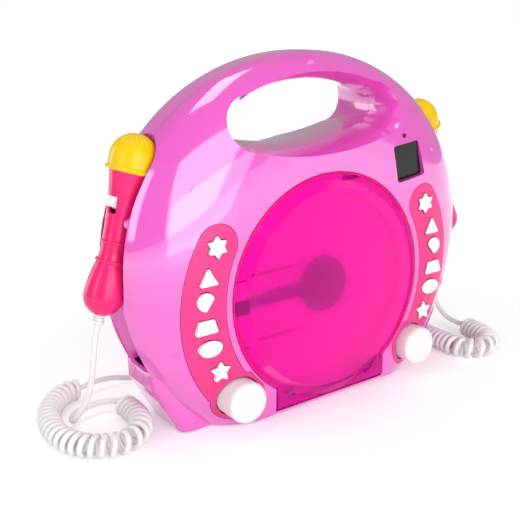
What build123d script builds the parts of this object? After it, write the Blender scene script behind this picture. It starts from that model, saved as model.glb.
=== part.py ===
from build123d import *
import math
import os

# A child's karaoke machine: a round case with a carrying handle, a disc under a clear lid,
# and two toy microphones on curly cords. Millimetres, +Z up, the front faces -Y.
# Everything except the cords is drawn about the centre of the lid, with Y = 0 on the front face,
# and moved at the end so that the origin is on the floor, under the middle of the case.

# ---- driving dimensions ---------------------------------------------------------------------
LID_HEIGHT = 83.0           # centre of the lid above the floor
PARTING_DEPTH = 33.0        # front face to the joint between the two shells
WALL = 2.4                  # thickness of the moulded shells
FACE_HALF_WIDTH = 80.0      # the flat middle of the front
FACE_TOP = 88.0
FACE_LOWER = 105.0          # from the outline's middle line down
BODY_HALF_WIDTH = 137.0     # at the joint between the shells
BODY_TOP = 150.0
BODY_LOWER = 140.0
OUTLINE_MIDDLE = 25.0       # height of the outline's widest line
REAR_STRAIGHT = 12.0        # straight band behind the joint
REAR_ROUND = 27.0           # depth of the rounded back edge
REAR_INSET = 22.0           # how far that edge draws in
SHELL_GAP = 0.15            # half of the visible line between the shells
FOOT_PAD_HEIGHT = 1.0       # rubber pads under the case
BOTTOM_ROUND = 9.0
CLEARANCE = 0.3             # between a moving piece and its neighbours
FIT_GAP = 0.05              # radial, round a turning shaft

HANDLE_HOLE_HALF_WIDTH = 62.0
HANDLE_HOLE_BOTTOM = 93.5
HANDLE_HOLE_TOP = 131.0
HANDLE_HOLE_FLARE = 9.0
HANDLE_HOLE_REAR_FLARE = 5.0

FOOT_REACH = 121.0          # widest part of a side foot
FOOT_GROUND_REACH = 105.0
FOOT_INNER = 70.0
FOOT_TOP = -31.0
FOOT_BULGE_TOP = -38.0
FOOT_BULGE_BOTTOM = -50.0
FOOT_FRONT = 21.0
FOOT_REAR = 66.0
FOOT_ROUND = 7.0

LID_RADIUS = 75.0
LID_FLAT_RADIUS = 66.0
LID_RISE = 6.5
LID_THICKNESS = 1.8
LID_RIM = 2.2
LID_GAP = 0.8               # round the rim, in the case's opening
TONGUE_HALF_WIDTH = 45.0
TONGUE_BOTTOM = -76.0
TONGUE_TOP = -56.0
TONGUE_THICKNESS = 2.6
HINGE_DEPTH = 5.0
HINGE_HEIGHT = -68.5
HINGE_PIN_RADIUS = 1.5
HINGE_EYE_RADIUS = 3.4
HINGE_EYE_LENGTH = 8.0
HINGE_LUG_LENGTH = 5.0
TONGUE_SWING = 8.1          # the tongue's lower edge is rounded to this, round the hinge
LID_SPRING_RADIUS = 2.0      # to the middle of the wire
LID_SPRING_WIRE = 0.9
LID_SPRING_ARM = 16.5
LID_SPRING_TURNS = 4
LID_SPRING_LIFT = 0.6        # the floor's rounding under the leg
LID_SPRING_PITCH = 1.6

WELL_RADIUS = 62.5          # room for a 120 mm disc
WELL_FLOOR = 9.0
DECK_WALL = 2.0
DECK_FLANGE_RADIUS = 77.6
HUB_RADIUS = 18.0
HUB_THICKNESS = 2.0
SPIGOT_RADIUS = 7.4         # for the 15 mm hole of a disc
SPIGOT_LENGTH = 3.2
SHAFT_RADIUS = 1.0
PLATE_DEPTH = 20.0
PLATE_THICKNESS = 1.2
PLATE_REACH = (-67.0, 58.0)
PLATE_HALF_HEIGHT = 32.0
POST_PLACE = (50.0, 26.0)
POST_RADIUS = 3.5
MOTOR_RADIUS = 10.0
MOTOR_LENGTH = 7.5
SLOT_OUTER = 61.0
SLOT_HALF_HEIGHT = 5.0
SLED_LENGTH = 16.0
SLED_HALF_HEIGHT = 20.0
SLED_THICKNESS = 5.0
SLED_DEPTH = 12.5
SLED_CENTRE = -26.0
SLED_TRAVEL = 27.0
LENS_RADIUS = 3.4
ROD_RADIUS = 1.5
ROD_HEIGHT = 15.0           # of each rod above and below the middle
GEAR_TEETH = 15
GEAR_MODULE = 0.8
GEAR_THICKNESS = 2.5
GEAR_PLACE = -38.0
GEAR_BACKLASH = 0.3

PANEL_THICKNESS = 1.4
PANEL_GAP = 0.35
PANEL_TOP_CENTRE = (82.8, 43.0)
PANEL_TOP_RADIUS = 13.2
PANEL_INNER_RADIUS = 80.2   # round the lid's middle, so that it runs smoothly into the rounded top
PANEL_TOP_TURN = 31.5       # degrees at which the outer edge leaves the rounded top
KNOB_PLACE = (72.5, -58.5)
KNOB_RADIUS = 13.4
KNOB_FACE = 10.0            # how far the knobs stand in front of the face
KNOB_GAP = 1.0              # round the knob, in its well
KNOB_WELL_DEPTH = 12.0
KNOB_COLLAR = 3.0           # width of the panel's ring round the well
KNOB_SHAFT_RADIUS = 3.0
CONTROL_SIZE = 15.0
CONTROL_THICKNESS = 7.0
BUTTON_PROUD = 1.3
BUTTON_TRAVEL = 1.2
BUTTON_FLANGE = 1.4         # how far a button's foot spreads behind its guide
BUTTON_GUIDE = 7.7          # depth of the guides' ends
GUIDE_WALL = 1.2
KEY_BOARD_DEPTH = 12.0
KEY_BOARD_BOTTOM = -41.0
KEY_BOARD_TOP = 52.0
BOARD_THICKNESS = 1.6
KEY_POSTS = ((97.0, 36.0), (81.0, -10.0))
KEY_POST_RADIUS = 2.0

WINDOW_CORNERS = ((55.0, 85.0), (80.0, 86.5), (84.5, 63.0), (59.0, 60.0))
WINDOW_ROUND = 2.0
WINDOW_DEPTH = 4.6          # the glass lies flat under the curved front
WINDOW_THICKNESS = 1.6
WINDOW_SEAT = 7.0
WINDOW_LEDGE = 3.0
LIGHT_PLACE = (66.0, 91.0)
LIGHT_RADIUS = 1.5
LIGHT_LENGTH = 7.0

SPEAKER_PLACE = (66.0, 36.0)
SPEAKER_RADIUS = 26.0
SPEAKER_DEPTH = 16.0
GRILLE_RADIUS = 21.0
GRILLE_SLOTS = 7
GRILLE_SLOT_WIDTH = 3.0
BATTERY_HALF_WIDTH = 55.0
BATTERY_BOTTOM = -68.0
BATTERY_TOP = -14.0
BATTERY_DEPTH = 29.0
TRAY_WALL = 1.8
MAIN_BOARD = (32.0, 35.0)   # half width and half height
MAIN_BOARD_MIDDLE = 35.0
MAIN_BOARD_DEPTH = 40.0
POWER_SOCKET_PLACE = (-97.0, -12.0)
PHONES_SOCKET_PLACE = (-97.0, -30.0)
SOCKET_RADIUS = 5.5
SOCKET_LENGTH = 14.0
POWER_BORE_RADIUS = 2.8
PHONES_BORE_RADIUS = 1.8
FRONT_BOSS_RADIUS = 3.6
REAR_BOSS_RADIUS = 5.0
SCREW_RADIUS = 1.4
SCREW_HEAD_RADIUS = 2.8
SCREW_HEAD_HEIGHT = 2.0
SCREW_LENGTH = 16.0
SCREW_SEAT = 4.0            # web under a screw's head
PAD_RADIUS = 6.0
PAD_REACH = 92.0
PAD_DEPTHS = (30.0, 57.0)

MIC_COLLAR = (-116.5, 39.5, 87.4)   # middle of the left head's lower rim
MIC_LEAN = 18.7             # degrees off upright, the foot outwards
MIC_HEAD_RADIUS = 14.8
MIC_HEAD_RISE = 7.4         # rim to the middle of the head's ball
MIC_RIM_RADIUS = 15.7
MIC_RIM_HEIGHT = 2.8
MIC_NECK_RADIUS = 13.0
MIC_WAIST_RADIUS = 8.3
MIC_WAIST = 42.0            # distances down the microphone, from the rim
MIC_RINGS = (43.5, 55.0)
MIC_BULB_RADIUS = 12.5
MIC_BULB = 76.3
MIC_WALL = 1.8
MIC_SLOT = 21.3             # middle of the switch's slot, down from the rim
MIC_SLOT_LENGTH = 10.4
MIC_SLOT_WIDTH = 6.0
MIC_SLOT_TURN = 68.0        # degrees from the front, outwards
MIC_SWITCH_LENGTH = 6.2
RELIEF_LENGTH = 5.5
RELIEF_RADIUS = 3.4
RELIEF_RIBS = 3
BAY_TOP_RADIUS = 17.6
BAY_BOTTOM_RADIUS = 15.8
CLIP_LEVEL = 59.0
CLIP_HEIGHT = 7.0
CLIP_RADIUS = 12.0
CLIP_THICKNESS = 2.2
CLIP_BALL_RADIUS = 3.2

CORD_DIAMETER = 3.8
CURL_DIAMETER = 15.8        # over the curls
LEFT_CURLS = 33
RIGHT_CURLS = 34
CURL_RUN_OUT = 9.0  # extra length over which a curly cord runs straight at its end
GLAND_PLACE = (68.0, -60.0)
GLAND_RADIUS = 4.5
GLAND_PROUD = 4.0

# ---- worked out from them -------------------------------------------------------------------
CASE_BOTTOM = FOOT_PAD_HEIGHT - LID_HEIGHT
REAR_FACE = PARTING_DEPTH + REAR_STRAIGHT + REAR_ROUND
BACK_WALL = REAR_FACE - WALL
MIDDLE_DEPTH = (REAR_FACE + GLAND_PROUD - KNOB_FACE) / 2
TO_FRAME = Location((0, -MIDDLE_DEPTH, LID_HEIGHT))
FLOOR = -LID_HEIGHT
ROLL_STEPS = 6              # sections of a rounded edge
SIDES = (-1, 1)
FAR = 400.0


def along_y(sketch, start, end):
    """A prism of an XZ drawing between two depths."""
    return extrude(Plane.XZ.offset(-start) * sketch, amount=start - end)


def disc_y(radius, start, end, place=(0, 0)):
    """A round bar along Y."""
    return along_y(Pos(place[0], place[1]) * Circle(radius), start, end)


def bar_x(radius, start, end, depth, height):
    """A round bar along X."""
    bar = extrude(Plane.YZ.offset(start) * Circle(radius), amount=end - start)
    return Pos(0, depth, height) * bar


def mirrored(shape):
    return mirror(shape, about=Plane.YZ)


def block(x, y, z):
    """A box from three pairs of limits."""
    size = Box(x[1] - x[0], y[1] - y[0], z[1] - z[0], align=(Align.MIN, Align.MIN, Align.MIN))
    return Pos(x[0], y[0], z[0]) * size


# ---- the case's outer form ------------------------------------------------------------------
def oval(half_width, upper, lower):
    """An upright oval of two half ellipses about the outline's middle line."""
    middle = Pos(0, OUTLINE_MIDDLE)
    top = middle * EllipticalCenterArc((0, 0), half_width, upper, start_angle=0, arc_size=180)
    bottom = middle * EllipticalCenterArc((0, 0), half_width, lower, start_angle=180, arc_size=180)
    return make_face([top, bottom])


def front_oval(roll, inset):
    """The front's section where its surface has rolled back by this angle."""
    s = math.sin(math.radians(roll))
    half_width = FACE_HALF_WIDTH + (BODY_HALF_WIDTH - FACE_HALF_WIDTH) * s
    upper = FACE_TOP + (BODY_TOP - FACE_TOP) * s - OUTLINE_MIDDLE
    lower = FACE_LOWER + (BODY_LOWER - FACE_LOWER) * s
    draw = inset * s
    return oval(half_width - draw, upper - draw, lower - draw)


def front_form(inset):
    """The domed front of the case, drawn in by a wall's thickness or none."""
    sections = []
    for step in range(ROLL_STEPS + 1):
        roll = 90.0 * step / ROLL_STEPS
        depth = PARTING_DEPTH - (PARTING_DEPTH - inset) * math.cos(math.radians(roll))
        sections.append(Plane.XZ.offset(-depth) * front_oval(roll, inset))
    return loft(sections)


def rear_form(inset):
    """The back of the case: a straight band and a rounded edge."""
    upper = BODY_TOP - OUTLINE_MIDDLE
    edge = oval(BODY_HALF_WIDTH - inset, upper - inset, BODY_LOWER - inset)
    band_end = PARTING_DEPTH + REAR_STRAIGHT
    band = along_y(edge, PARTING_DEPTH, band_end)
    sections = []
    for step in range(ROLL_STEPS + 1):
        roll = math.radians(90.0 * step / ROLL_STEPS)
        draw = inset + (REAR_INSET - inset) * (1 - math.cos(roll)) + inset * (1 - math.cos(roll))
        depth = band_end + (REAR_ROUND - inset) * math.sin(roll)
        section = oval(BODY_HALF_WIDTH - draw, upper - draw, BODY_LOWER - draw)
        sections.append(Plane.XZ.offset(-depth) * section)
    return band + loft(sections)


def side_profile(inset):
    """What the flat bottom and its rounded edges leave of the case, seen from the side."""
    low = CASE_BOTTOM + inset
    outline = Rectangle(REAR_FACE - 2 * inset, FAR, align=(Align.MIN, Align.MIN))
    outline = Pos(inset, low) * outline
    corners = outline.vertices().sort_by(Axis.Y)[:2]
    outline = fillet(corners, BOTTOM_ROUND - inset)
    return extrude(Plane.YZ.offset(-FAR / 2) * outline, amount=FAR)


def foot(inset):
    """The left foot: a rounded wedge that stands out of the case's side."""
    low = CASE_BOTTOM + inset
    outline = Polyline(
        (-FOOT_INNER - inset, FOOT_TOP - inset),
        (-FOOT_REACH + FOOT_ROUND, FOOT_TOP - inset),
        (-FOOT_REACH + inset, FOOT_BULGE_TOP),
        (-FOOT_REACH + inset, FOOT_BULGE_BOTTOM),
        (-FOOT_GROUND_REACH + inset, low),
        (-FOOT_INNER - inset, low),
        close=True,
    )
    wedge = along_y(make_face(outline), FOOT_FRONT + inset, FOOT_REAR - inset)
    middle = (FOOT_FRONT + FOOT_REAR) / 2
    outer = -(FOOT_GROUND_REACH + FOOT_INNER) / 2 - 10
    edges = [e for e in wedge.edges() if abs(e.center().Y - middle) > 5 and e.center().X < outer]
    return fillet(edges, FOOT_ROUND - inset)


def handle_outline(flare, wall):
    """The handle's hole, smiling at its bottom and arched at its top, where it flares most."""
    half = HANDLE_HOLE_HALF_WIDTH + flare + wall
    bottom = HANDLE_HOLE_BOTTOM - 0.65 * flare - wall
    top = HANDLE_HOLE_TOP + 1.6 * flare + wall
    corner = 0.82 * HANDLE_HOLE_HALF_WIDTH
    middle = (bottom + top) / 2 - 1
    floor = ThreePointArc((-corner, bottom + 6), (0, bottom), (corner, bottom + 6))
    right = ThreePointArc((corner, bottom + 6), (half, middle), (corner - 1, top - 9.5))
    roof = ThreePointArc((corner - 1, top - 9.5), (0, top), (1 - corner, top - 9.5))
    left = ThreePointArc((1 - corner, top - 9.5), (-half, middle), (-corner, bottom + 6))
    return make_face([floor, right, roof, left])


def handle_hole(wall):
    """The hole through the handle, flared to the front and a little to the back."""
    front = []
    for share in (0, 0.25, 0.5, 0.75, 1):
        depth = -4 + (PARTING_DEPTH + 4) * share
        flare = HANDLE_HOLE_FLARE * (1 - share) ** 2 * 1.4
        front.append(Plane.XZ.offset(-depth) * handle_outline(flare, wall))
    rear = []
    for share in (0, 0.5, 1):
        depth = PARTING_DEPTH + (REAR_FACE + 4 - PARTING_DEPTH) * share
        flare = HANDLE_HOLE_REAR_FLARE * share ** 2
        rear.append(Plane.XZ.offset(-depth) * handle_outline(flare, wall))
    return loft(front) + loft(rear)


# ---- the left microphone's own axis ---------------------------------------------------------
# A plane at the rim, with its Z axis up the microphone.
mic_plane = Plane(
    origin=MIC_COLLAR,
    x_dir=(math.cos(math.radians(MIC_LEAN)), 0, -math.sin(math.radians(MIC_LEAN))),
    z_dir=(math.sin(math.radians(MIC_LEAN)), 0, math.cos(math.radians(MIC_LEAN))),
)


def mic_point(down, out=0.0):
    """A point on the microphone's axis, so far below the rim, and so far off it inwards."""
    return mic_plane.from_local_coords(Vector(out, 0, -down))


def mic_turned(profile):
    """A turned piece of the microphone: radius along X and height above the rim along Y."""
    turned = revolve(Plane.XZ * profile, axis=Axis.Z)
    return mic_plane.location * turned


def mic_bay(wall):
    """The hollow in the case's side that holds the left microphone."""
    top = MIC_HEAD_RISE
    radii = (BAY_TOP_RADIUS + wall, BAY_BOTTOM_RADIUS + wall)
    trunk = make_face(
        Polyline((0, -MIC_BULB), (radii[1], -MIC_BULB), (radii[0], top), (0, top), close=True)
    )
    crown = Pos(*mic_point(-top)) * Sphere(radii[0])
    channel_top = mic_point(MIC_BULB)
    channel = Plane(origin=channel_top, z_dir=(0.34, 0, -1))
    groove = channel.location * Cylinder(
        BAY_BOTTOM_RADIUS - 3 + wall, 55, align=(Align.CENTER, Align.CENTER, Align.MIN)
    )
    ball = Pos(*channel_top) * Sphere(radii[1])
    return mic_turned(trunk) + crown + ball + groove


def surface_depth(x, z):
    """Depth of the front surface at a place, found by halving the roll angle."""
    low, high = 0.0, 90.0
    for _ in range(40):
        roll = (low + high) / 2
        s = math.sin(math.radians(roll))
        half_width = FACE_HALF_WIDTH + (BODY_HALF_WIDTH - FACE_HALF_WIDTH) * s
        if z > OUTLINE_MIDDLE:
            height = FACE_TOP + (BODY_TOP - FACE_TOP) * s - OUTLINE_MIDDLE
        else:
            height = FACE_LOWER + (BODY_LOWER - FACE_LOWER) * s
        if (x / half_width) ** 2 + ((z - OUTLINE_MIDDLE) / height) ** 2 > 1:
            low = roll
        else:
            high = roll
    return PARTING_DEPTH * (1 - math.cos(math.radians(low)))


# ---- shells ---------------------------------------------------------------------------------
def hollowed(form, inner_form):
    """A shell: the form less its inside, keeping walls round the handle hole and the bays."""
    outer = form & side_profile(0)
    inner = inner_form & side_profile(WALL)
    for side in SIDES:
        outer += foot(0) if side < 0 else mirrored(foot(0))
        inner += foot(WALL) if side < 0 else mirrored(foot(WALL))
    bay, bay_wall = mic_bay(0), mic_bay(WALL)
    outer = outer - handle_hole(0) - bay - mirrored(bay)
    inner = inner - handle_hole(WALL) - bay_wall - mirrored(bay_wall)
    return outer, inner


full_outer, full_inner = hollowed(
    front_form(0) + rear_form(0), front_form(WALL) + rear_form(WALL)
)
front_side = block((-FAR / 2, FAR / 2), (-FAR / 2, PARTING_DEPTH - SHELL_GAP), (-FAR / 2, FAR / 2))
rear_side = block((-FAR / 2, FAR / 2), (PARTING_DEPTH + SHELL_GAP, FAR / 2), (-FAR / 2, FAR / 2))
front_outer = full_outer & front_side
rear_outer = full_outer & rear_side
front_skin = front_outer - Pos(0, PANEL_THICKNESS, 0) * front_outer

# Screw places: one in the handle, and three pairs round the case.
boss_places = [(0, (HANDLE_HOLE_TOP + BODY_TOP) / 2)]
for side in SIDES:
    boss_places.append((side * 93, 76))
    boss_places.append((side * 108, -22))
    boss_places.append((side * 56, CASE_BOTTOM + WALL + FRONT_BOSS_RADIUS))


# ---- buttons --------------------------------------------------------------------------------
def star(points, outer, inner):
    """A star with one point up."""
    corners = []
    for index in range(2 * points):
        radius = outer if index % 2 == 0 else inner
        angle = math.pi / 2 + math.pi * index / points
        corners.append((radius * math.cos(angle), radius * math.sin(angle)))
    return fillet(make_face(Polyline(*corners, close=True)).vertices(), 0.5)


def drop(radius):
    """A round button with one flat side, which faces the lid and slants to a low corner."""
    side, low = (-0.966 * radius, 0.259 * radius), (0.035 * radius, -0.999 * radius)
    flat = Line(side, low)
    bow = ThreePointArc(low, (0.6 * radius, 0.8 * radius), side)
    return fillet(make_face([flat, bow]).vertices(), 0.9)


def rounded(corners, radius):
    return fillet(make_face(Polyline(*corners, close=True)).vertices(), radius)


OVAL_RADII = (8.0, 5.2)
BUTTONS = {
    "six_point_star": (star(6, 7.2, 4.6), (83.9, 42.5)),
    "triangle": (rounded(((-6.4, -5), (6.4, -5), (0, 6.4)), 0.8), (90.9, 24.9)),
    "drop": (drop(5.8), (93.3, 10.2)),
    "trapezium": (rounded(((-7.8, -4.4), (7.8, -4.4), (5.2, 4.4), (-5.2, 4.4)), 0.9), (93.5, -5.8)),
    "oval": (Ellipse(*OVAL_RADII), (91.4, -20.3)),
    "five_point_star": (star(5, 7.4, 4.0), (85.2, -37.2)),
}


def button_shape(name, grow):
    """A button's outline in its place on the right side, let out by a gap or a wall."""
    shape, place = BUTTONS[name]
    if name == "oval":
        shape = Ellipse(OVAL_RADII[0] + grow, OVAL_RADII[1] + grow)
    elif grow:
        shape = offset(shape, amount=grow)
    return Pos(place[0], place[1]) * shape


def button(name):
    place = BUTTONS[name][1]
    face = surface_depth(*place) - BUTTON_PROUD
    foot_depth = BUTTON_GUIDE + CLEARANCE
    cap = along_y(button_shape(name, 0), face, foot_depth)
    spread = along_y(button_shape(name, BUTTON_FLANGE), foot_depth, foot_depth + 1.2)
    end = KEY_BOARD_DEPTH - BUTTON_TRAVEL - CLEARANCE
    return cap + spread + disc_y(2, foot_depth + 1.2, end, place)


def panel_outline(grow):
    """The right inlay: it follows the lid, and rings the knob."""
    x, z = PANEL_TOP_CENTRE
    r = PANEL_TOP_RADIUS
    turn = math.radians(PANEL_TOP_TURN)
    shoulder = (x + r * math.cos(turn), z + r * math.sin(turn))
    share = PANEL_INNER_RADIUS / math.hypot(x, z)
    neck = (x * share, z * share)
    low_end = (68.0, -math.sqrt(PANEL_INNER_RADIUS ** 2 - 68.0 ** 2))
    top = ThreePointArc(shoulder, (x - r * math.sin(turn), z + r * math.cos(turn)), neck)
    inner = ThreePointArc(neck, (PANEL_INNER_RADIUS, 0), low_end)
    low = Polyline(low_end, KNOB_PLACE, (91, -58))
    outer = ThreePointArc((91, -58), (108.6, -5), shoulder)
    field = make_face([top, inner, low, outer])
    well = KNOB_RADIUS + KNOB_GAP
    ring = Pos(*KNOB_PLACE) * Circle(well + KNOB_COLLAR)
    whole = field + ring - Circle(LID_RADIUS + LID_GAP + 1.6)
    return offset(whole, amount=grow) if grow else whole


def button_panel():
    """The right panel: a thin skin over the curved front, with a hole for each button."""
    panel = along_y(panel_outline(0), -WALL, PARTING_DEPTH) & front_skin
    for name in BUTTONS:
        panel -= along_y(button_shape(name, PANEL_GAP), -WALL, PARTING_DEPTH)
    return panel - disc_y(KNOB_RADIUS + KNOB_GAP, -WALL, PARTING_DEPTH, KNOB_PLACE)


# ---- front shell ----------------------------------------------------------------------------
def right_front_half():
    """The right half of the front, with its guides, well, posts and pocket."""
    right_side = block((0, FAR / 2), (-FAR / 2, FAR / 2), (-FAR / 2, FAR / 2))
    well = KNOB_RADIUS + KNOB_GAP
    lug = (TONGUE_HALF_WIDTH + 1.3, TONGUE_HALF_WIDTH + 1.3 + HINGE_LUG_LENGTH)
    added = [
        disc_y(well + WALL, 0, KNOB_WELL_DEPTH + WALL, KNOB_PLACE),
        block(lug, (0, HINGE_DEPTH + 4), (CASE_BOTTOM, HINGE_HEIGHT + 6)),
    ]
    cut = [
        along_y(panel_outline(PANEL_GAP), -WALL, PARTING_DEPTH) & front_skin,
        disc_y(well, -WALL, KNOB_WELL_DEPTH, KNOB_PLACE),
        disc_y(KNOB_SHAFT_RADIUS + CLEARANCE, 0, PARTING_DEPTH, KNOB_PLACE),
        bar_x(HINGE_PIN_RADIUS + FIT_GAP, lug[0] - 1, lug[1] - 1, HINGE_DEPTH, HINGE_HEIGHT),
    ]
    for name in BUTTONS:
        added.append(along_y(button_shape(name, PANEL_GAP + GUIDE_WALL), 0, BUTTON_GUIDE))
        cut.append(along_y(button_shape(name, PANEL_GAP), -WALL, PARTING_DEPTH))
    star_room = button_shape("five_point_star", BUTTON_FLANGE + CLEARANCE)
    cut.append(along_y(star_room, BUTTON_GUIDE, KEY_BOARD_DEPTH))
    for place in KEY_POSTS:
        added.append(disc_y(KEY_POST_RADIUS, 0, KEY_BOARD_DEPTH, place))
    outer = front_outer & right_side
    half = outer - (full_inner & right_side)
    return half + [piece & outer for piece in added] - cut


def window_outline(grow):
    outline = rounded(WINDOW_CORNERS, WINDOW_ROUND)
    return offset(outline, amount=grow) if grow else outline


def lid_opening():
    """The round opening with its square foot for the lid's tongue."""
    half = TONGUE_HALF_WIDTH + LID_GAP
    foot_face = Pos(0, TONGUE_BOTTOM - LID_GAP) * Rectangle(
        2 * half, TONGUE_TOP - TONGUE_BOTTOM, align=(Align.CENTER, Align.MIN)
    )
    low = foot_face.vertices().sort_by(Axis.Y)[:2]
    return Circle(LID_RADIUS + LID_GAP) + fillet(low, 1.2)


def front_shell():
    half = right_front_half()
    added = [along_y(window_outline(WINDOW_LEDGE), 0, WINDOW_SEAT) & front_outer]
    tongue_end = TONGUE_HALF_WIDTH + LID_GAP
    cut = [
        along_y(window_outline(0), -WALL, WINDOW_SEAT),
        disc_y(LIGHT_RADIUS, -WALL, PARTING_DEPTH / 2, LIGHT_PLACE),
        along_y(lid_opening(), -1, WALL + 1.2),
        bar_x(TONGUE_SWING + LID_GAP, -tongue_end, tongue_end, HINGE_DEPTH, HINGE_HEIGHT),
    ]
    for place in boss_places:
        added.append(disc_y(FRONT_BOSS_RADIUS, surface_depth(*place) + 1, PARTING_DEPTH, place))
        tip = PARTING_DEPTH + SCREW_SEAT - SCREW_LENGTH
        cut.append(disc_y(SCREW_RADIUS, tip, PARTING_DEPTH, place))
    return half + [mirrored(half)] + added - cut


# ---- rear shell -----------------------------------------------------------------------------
def speaker_grille():
    """Slots cut to a round field."""
    field = Circle(GRILLE_RADIUS)
    slots = None
    for index in range(GRILLE_SLOTS):
        height = (index - (GRILLE_SLOTS - 1) / 2) * 2 * GRILLE_RADIUS / GRILLE_SLOTS
        length = 2 * math.sqrt(GRILLE_RADIUS ** 2 - height ** 2)
        slot = Pos(0, height) * SlotOverall(length, GRILLE_SLOT_WIDTH)
        slots = slot if slots is None else slots + slot
    return slots


def battery_opening(grow):
    width = 2 * (BATTERY_HALF_WIDTH + grow)
    height = BATTERY_TOP - BATTERY_BOTTOM + 2 * grow
    return Pos(0, (BATTERY_TOP + BATTERY_BOTTOM) / 2) * RectangleRounded(width, height, 3 + grow)


def rear_shell():
    seat = PARTING_DEPTH + SCREW_SEAT
    added = []
    cut = [along_y(battery_opening(0), BACK_WALL - 1, REAR_FACE + 1)]
    for place in boss_places:
        added.append(disc_y(REAR_BOSS_RADIUS, PARTING_DEPTH + SHELL_GAP, REAR_FACE, place) & full_outer)
        cut.append(disc_y(SCREW_HEAD_RADIUS + CLEARANCE, seat, REAR_FACE + 1, place))
        cut.append(disc_y(SCREW_RADIUS, PARTING_DEPTH, seat, place))
    for side in SIDES:
        for level in (-1, 1):
            place = (side * (MAIN_BOARD[0] - 5), MAIN_BOARD_MIDDLE + level * (MAIN_BOARD[1] - 5))
            added.append(disc_y(3, MAIN_BOARD_DEPTH + BOARD_THICKNESS, BACK_WALL, place))
        grille = Pos(side * SPEAKER_PLACE[0], SPEAKER_PLACE[1]) * speaker_grille()
        gland = (side * GLAND_PLACE[0], GLAND_PLACE[1])
        cut.append(along_y(grille, BACK_WALL - 1, REAR_FACE + 1))
        cut.append(disc_y(GLAND_RADIUS, BACK_WALL - 1, REAR_FACE + 1, gland))
    for place in (POWER_SOCKET_PLACE, PHONES_SOCKET_PLACE):
        cut.append(disc_y(SOCKET_RADIUS, BACK_WALL - 8, REAR_FACE + 1, place))
    return (rear_outer - full_inner) + added - cut


# ---- lid and its hinge ----------------------------------------------------------------------
def disc_lid():
    """A shallow clear dish with a tongue, two hinge eyes and a hook."""
    outline = Polyline(
        (0, -LID_RISE), (LID_FLAT_RADIUS + 1, -LID_RISE), (LID_RADIUS - 0.6, -0.5),
        (LID_RADIUS, 0), (LID_RADIUS, LID_RIM - 0.1), (LID_RADIUS - LID_THICKNESS - 0.6, LID_RIM - 0.1),
        (LID_FLAT_RADIUS, LID_THICKNESS - LID_RISE), (0, LID_THICKNESS - LID_RISE), close=True,
    )
    dish = revolve(make_face(outline), axis=Axis.Y)
    tongue = block(
        (-TONGUE_HALF_WIDTH, TONGUE_HALF_WIDTH), (-0.5, TONGUE_THICKNESS - 0.5), (TONGUE_BOTTOM, TONGUE_TOP)
    )
    tongue -= disc_y(LID_RADIUS - 1, -FAR, FAR)
    below = block((-FAR, FAR), (-FAR, FAR), (-FAR, HINGE_HEIGHT))
    tongue -= below - bar_x(TONGUE_SWING, -FAR, FAR, HINGE_DEPTH, HINGE_HEIGHT)
    lid = dish + tongue
    for side in SIDES:
        start = TONGUE_HALF_WIDTH - 15
        eye = bar_x(HINGE_EYE_RADIUS, start, start + HINGE_EYE_LENGTH, HINGE_DEPTH, HINGE_HEIGHT)
        web = block(
            (start, start + HINGE_EYE_LENGTH), (0, HINGE_DEPTH),
            (HINGE_HEIGHT - HINGE_EYE_RADIUS, HINGE_HEIGHT + HINGE_EYE_RADIUS),
        )
        bore = bar_x(HINGE_PIN_RADIUS, start - 1, start + HINGE_EYE_LENGTH + 1, HINGE_DEPTH, HINGE_HEIGHT)
        eye = eye + web - bore
        lid += eye if side > 0 else mirrored(eye)
    hook = block((14, 26), (-0.5, 7.5), (69.0, 70.6)) + block((14, 26), (6, 7.5), (70.6, 71.8))
    return lid + hook


def lid_hinge_pins():
    start = TONGUE_HALF_WIDTH - 15.5
    end = TONGUE_HALF_WIDTH + HINGE_LUG_LENGTH
    pin = bar_x(HINGE_PIN_RADIUS, start, end, HINGE_DEPTH, HINGE_HEIGHT)
    return Compound([pin, mirrored(pin)])


def arcs_through(points, tangents):
    """Two arcs from each point to the next, smooth throughout."""
    edges = []
    for index in range(len(points) - 1):
        p, q = points[index], points[index + 1]
        t, u = tangents[index], tangents[index + 1]
        v = q - p
        both = t + u
        spare = 2 * (1 - t.dot(u))
        if spare < 1e-9:
            reach = v.dot(v) / (4 * v.dot(u))
        else:
            reach = (math.sqrt(v.dot(both) ** 2 + spare * v.dot(v)) - v.dot(both)) / spare
        a, b = p + t * reach, q - u * reach
        middle = (a + b) * 0.5
        edges.append(Edge.make_tangent_arc(p, t, middle))
        edges.append(Edge.make_tangent_arc(middle, (b - a).normalized(), q))
    return edges


def swept(edges, diameter):
    """A round tube along edges that join end to end."""
    path = Wire(edges)
    section = Plane(origin=path @ 0, z_dir=path % 0) * Circle(diameter / 2)
    return sweep(section, path=path)


def lid_springs():
    """The right torsion spring round the hinge pin, its leg on the case's floor, and its mirror."""
    x0 = TONGUE_HALF_WIDTH - 6.2
    radius = LID_SPRING_RADIUS
    points, tangents = [], []
    for quarter in range(4 * LID_SPRING_TURNS + 1):
        angle = math.pi / 2 * quarter
        x = x0 + LID_SPRING_PITCH * quarter / 4
        depth = HINGE_DEPTH + radius * math.cos(angle)
        points.append(Vector(x, depth, HINGE_HEIGHT + radius * math.sin(angle)))
        climb = LID_SPRING_PITCH / 4 if 0 < quarter < 4 * LID_SPRING_TURNS else 0
        run = radius * math.pi / 2
        tangents.append(Vector(climb, -run * math.sin(angle), run * math.cos(angle)).normalized())
    leg = Edge.make_line(Vector(x0, points[0].Y, CASE_BOTTOM + WALL + LID_SPRING_LIFT), points[0])
    arm = Edge.make_line(points[-1], points[-1] + Vector(0, 0, LID_SPRING_ARM))
    spring = swept([leg] + arcs_through(points, tangents) + [arm], LID_SPRING_WIRE)
    return Compound([spring, mirrored(spring)])


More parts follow.
